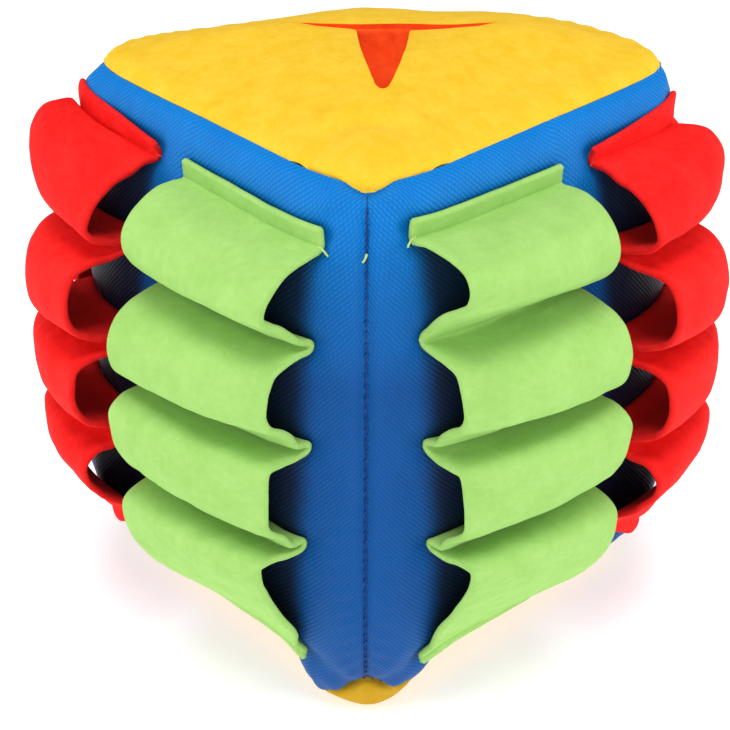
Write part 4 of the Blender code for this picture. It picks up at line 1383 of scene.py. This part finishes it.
# ======================================================================
# bottom panel
# ======================================================================
def build_bottom():
    edge = seam_outline(0.0, 60)
    n = len(edge)
    # share of the seam's reach at mid side and at the near corner, share of its height
    prof = [(0.976, 0.982, 0.97), (0.978, 1.004, 0.90), (0.955, 1.012, 0.76), (0.920, 1.008, 0.57),
            (0.888, 0.998, 0.39), (0.850, 0.980, 0.21), (0.805, 0.950, 0.07), (0.755, 0.900, 0.0),
            (0.68, 0.80, 0.0), (0.56, 0.60, 0.0), (0.40, 0.42, 0.0), (0.22, 0.23, 0.0), (0.06, 0.06, 0.0)]
    c = float(corner_at(np.array(0.0)))
    off_x, off_y = np.maximum(c - edge[:, 0], 0), np.maximum(c + edge[:, 1], 0)
    full = bell(off_x, 26.0) * bell(off_y, 24.0)
    wide = bell(off_x - 16.0, 9.0) * bell(off_y, 5.0) - 0.4 * bell(np.hypot(off_x, off_y), 8.0)
    full = np.maximum(full, 0.35 * bell(np.hypot(np.abs(edge[:, 0]) - c, np.abs(edge[:, 1]) - c), 14.0))
    dense = spline(prof[:9], 3)
    dense = np.concatenate([dense, prof[9:]])
    rows = []
    arc = np.linspace(0, 4 * 130.0, n, endpoint=False)
    for mid_rho, near_rho, k in dense:
        rho = (mid_rho * (1 - full) + near_rho * full + 0.022 * wide * float(smooth(k, 1.0, 0.6)))[:, None]
        p = edge * np.concatenate([rho, rho, np.full_like(rho, max(k, 0.0))], 1)
        side = smooth(k, 0.02, 0.4) * smooth(k, 1.0, 0.85)
        ripple = np.sin(2 * math.pi * (arc / 9.0 + 0.8 * noise(arc / 30, np.zeros(n), 3)))
        ray = p * np.array([1, 1, 0])
        ray /= np.maximum(np.linalg.norm(ray, axis=1, keepdims=True), 1e-6)
        bulge = 0.3 * ripple * side * bell(k - 0.8, 0.25) + 0.4 * fbm(arc / 22, np.full(n, k * 3), 19) * side
        rows.append(p + ray * bulge[:, None])
    top = edge * np.array([0.955, 0.955, 1.0]) + np.array([0, 0, 3.0])
    mid = edge * np.array([0.966, 0.966, 1.0]) + np.array([0, 0, 1.2])
    P = np.stack([top, mid] + rows)
    N = grid_normals(P, True)
    N = facing(P, N, P - np.array([0, 0, 12.0]))
    seg = np.linalg.norm(np.diff(P, axis=0), axis=2)
    v = np.concatenate([np.zeros((1, n)), np.cumsum(seg, axis=0)], 0)
    flat = P[..., :2] * (1 + 0.0 * v[..., None])
    ray = P * np.array([1, 1, 0])
    ray = ray[..., :2] / np.maximum(np.linalg.norm(ray[..., :2], axis=-1, keepdims=True), 1e-6)
    depth = SEAM_LOW - np.minimum(P[..., 2], SEAM_LOW)
    UV = flat + ray * (SEAM_LOW - depth)[..., None]
    # the bottom panel takes the darker yellow, painted shade
    obj = shell("bottom_cover", P, N, 1.6, [M["yellow_painted_shade"]], UV, wrap=True, round_rim=(0, 0, 0, 0), angle=70)
    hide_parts("bottom_panel")
    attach(obj, "cube")
    return obj


build_bottom()


# ======================================================================
# seams
# ======================================================================
def across(name, points, normals, along_mat, step, width, radius, sink, node, seed):
    """A ladder of short stitches that bridge a seam, with a sunken run below."""
    rng = np.random.default_rng(seed)
    pts, total = resample(points, step)
    nrm, _ = np.asarray(normals, float), 0
    s_old = np.concatenate([[0], np.cumsum(np.linalg.norm(np.diff(points, axis=0), axis=1))])
    s_new = np.linspace(0, s_old[-1], len(pts))
    nrm = np.stack([np.interp(s_new, s_old, nrm[:, k]) for k in range(3)], -1)
    nrm /= np.linalg.norm(nrm, axis=1, keepdims=True)
    tan = np.gradient(pts, axis=0)
    tan /= np.linalg.norm(tan, axis=1, keepdims=True)
    side = np.cross(tan, nrm)
    parts = []
    for k in range(1, len(pts) - 1):
        c = pts[k] + tan[k] * rng.uniform(-0.3, 0.3)
        w = np.linspace(-1, 1, 7)
        lean = tan[k] * 0.5
        p = c + np.outer(w, side[k] * width + lean) + np.outer((1 - w * w) * 0.35 - sink, nrm[k])
        parts.append(tube(p, radius * (0.6 + 0.4 * (1 - w * w)), 6))
    run, _ = resample(points, 2.0)
    low = np.stack([np.interp(np.linspace(0, s_old[-1], len(run)), s_new, nrm[:, k]) for k in range(3)], -1)
    parts.append(tube(run - low * (sink + 0.25), radius * 1.1, 6))
    v, f = join(parts)
    obj = make(name, v, f, [along_mat], thread_uv(v))
    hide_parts(node)
    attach(obj, "cube")
    return obj


def corner_line(which):
    face = {"near": "front", "far": "back", "right": "right", "left": "left"}[which]
    sgn = 1.0 if SIDE_SIGN[face] > 0 else -1.0
    t = np.linspace(0.02, 0.99, 80)
    p = on_side(face, sgn * corner_at(t), t)
    n = p * np.array([1, 1, 0])
    n /= np.linalg.norm(n, axis=1, keepdims=True)
    up = (1 - t[:, None]) * (SEAM_HIGH - SEAM_LOW)
    return p - n * (1.3 - (0.85 if which == "near" else -0.5) * bell(up, 9.0)), n


for k, which in enumerate(("near", "right", "far", "left")):
    p, n = corner_line(which)
    across("seam_stitches_" + which, p, n, M["navy"], 3.2, 0.34, 0.2, 0.40,
           "corner_seam_" + which, 300 + k)

top_line = seam_outline(1.0, 60)
ray = top_line * np.array([1, 1, 0])
ray /= np.linalg.norm(ray, axis=1, keepdims=True)
up = ray * 0.8 + np.array([0, 0, 0.6])
top_line = top_line - ray * 0.9
across("seam_stitches_top", np.concatenate([top_line, top_line[:1]]), np.concatenate([up, up[:1]]),
       M["navy"], 3.4, 0.35, 0.2, 2.7, "top_seam_thread", 310)

low_line = seam_outline(0.0, 60)
ray = low_line * np.array([1, 1, 0])
ray /= np.linalg.norm(ray, axis=1, keepdims=True)
low_line = low_line - ray * 0.9
k = [i for i in range(len(low_line)) if low_line[i, 1] > 50 and abs(low_line[i, 0]) < 30]
first, last = min(k), max(k)
closing, closing_n = low_line[first:last + 1], ray[first:last + 1]
rest = np.concatenate([low_line[last:], low_line[:first + 1]])
rest_n = np.concatenate([ray[last:], ray[:first + 1]])
across("seam_stitches_bottom", rest, rest_n, M["navy"], 3.4, 0.7, 0.26, 0.3,
       "bottom_seam_thread", 311)
across("closing_stitches", closing, closing_n, M["gold"], 4.6, 1.5, 0.32, -0.3,
       "bottom_closing_stitch", 312)


# ======================================================================
# floor, light and camera
# ======================================================================
def flat_material(name, colour, rough):
    s = Shader(name)
    geo = s.add("ShaderNodeTexCoord")
    n = s.noise(3.0, 3.0, 0.5, geo.outputs["Object"])
    s.link(s.mix(s.span(n, 0.3, 0.7), colour, tuple(c * 0.985 for c in colour[:3]) + (1.0,)),
           s.bsdf.inputs["Base Color"])
    s.bsdf.inputs["Roughness"].default_value = rough
    s.bsdf.inputs["Specular IOR Level"].default_value = 0.2
    s.bsdf.inputs["Emission Color"].default_value = (1.0, 1.0, 1.0, 1.0)
    s.bsdf.inputs["Emission Strength"].default_value = 0.42
    return s.mat


floor_mesh = bpy.data.meshes.new("floor")
floor_mesh.from_pydata([(-6, -6, 0), (6, -6, 0), (6, 6, 0), (-6, 6, 0)], [], [(0, 1, 2, 3)])
floor_mesh.materials.append(flat_material("pale_floor", (0.93, 0.93, 0.93, 1.0), 0.85))
floor = bpy.data.objects.new("floor", floor_mesh)
floor.location = (0, 0, -0.0002)
bpy.context.scene.collection.objects.link(floor)

world = bpy.data.worlds.new("studio")
bpy.context.scene.world = world
world.use_nodes = True
back = world.node_tree.nodes.get("Background") or world.node_tree.nodes.new("ShaderNodeBackground")
back.inputs[0].default_value = (1.0, 1.0, 1.0, 1.0)
back.inputs[1].default_value = 0.27


def area_light(name, az, el, distance, size, watts, target=(0, 0, 0.09), tint=(1, 1, 1)):
    light = bpy.data.lights.new(name, "AREA")
    light.shape = "DISK"
    light.size = size
    light.energy = watts
    light.color = tint
    obj = bpy.data.objects.new(name, light)
    a, e = math.radians(az), math.radians(el)
    back = Vector((math.sin(a) * math.cos(e), -math.cos(a) * math.cos(e), math.sin(e)))
    obj.location = Vector(target) + back * distance
    obj.rotation_mode = "QUATERNION"
    obj.rotation_quaternion = (-back).to_track_quat("-Z", "Y")
    bpy.context.scene.collection.objects.link(obj)
    return obj


area_light("key", 44.0, 72.0, 1.6, 0.8, 12.6)
area_light("overhead", 60.0, 86.0, 1.4, 1.0, 5.5)
area_light("front", 45.0, 22.0, 1.5, 1.0, 6.2)
area_light("side_left", -32.0, 14.0, 1.5, 0.9, 9.0)
area_light("side_right", 122.0, 14.0, 1.5, 0.9, 9.0)

CAM_AZ, CAM_EL, CAM_DIST, CAM_FOCUS = 47.232, 30.9, 0.44028, 2.973
cam_data = bpy.data.cameras.new("camera")
cam_data.lens = 36.0 * CAM_FOCUS * CAM_DIST * 1000.0 / 730.0
cam_data.sensor_width = 36.0
cam_data.clip_start = 0.01
cam_data.clip_end = 50.0
cam = bpy.data.objects.new("camera", cam_data)
a, e = math.radians(CAM_AZ), math.radians(CAM_EL)
back = Vector((math.sin(a) * math.cos(e), -math.cos(a) * math.cos(e), math.sin(e)))
right = Vector((math.cos(a), math.sin(a), 0.0))
cam.location = Vector((0, 0, 0.074567)) + right * -0.003813 + back * CAM_DIST
cam.rotation_mode = "QUATERNION"
cam.rotation_quaternion = (-back).to_track_quat("-Z", "Y")
bpy.context.scene.collection.objects.link(cam)
bpy.context.scene.camera = cam

bpy.context.scene.view_settings.view_transform = "Standard"
bpy.context.scene.view_settings.look = "None"
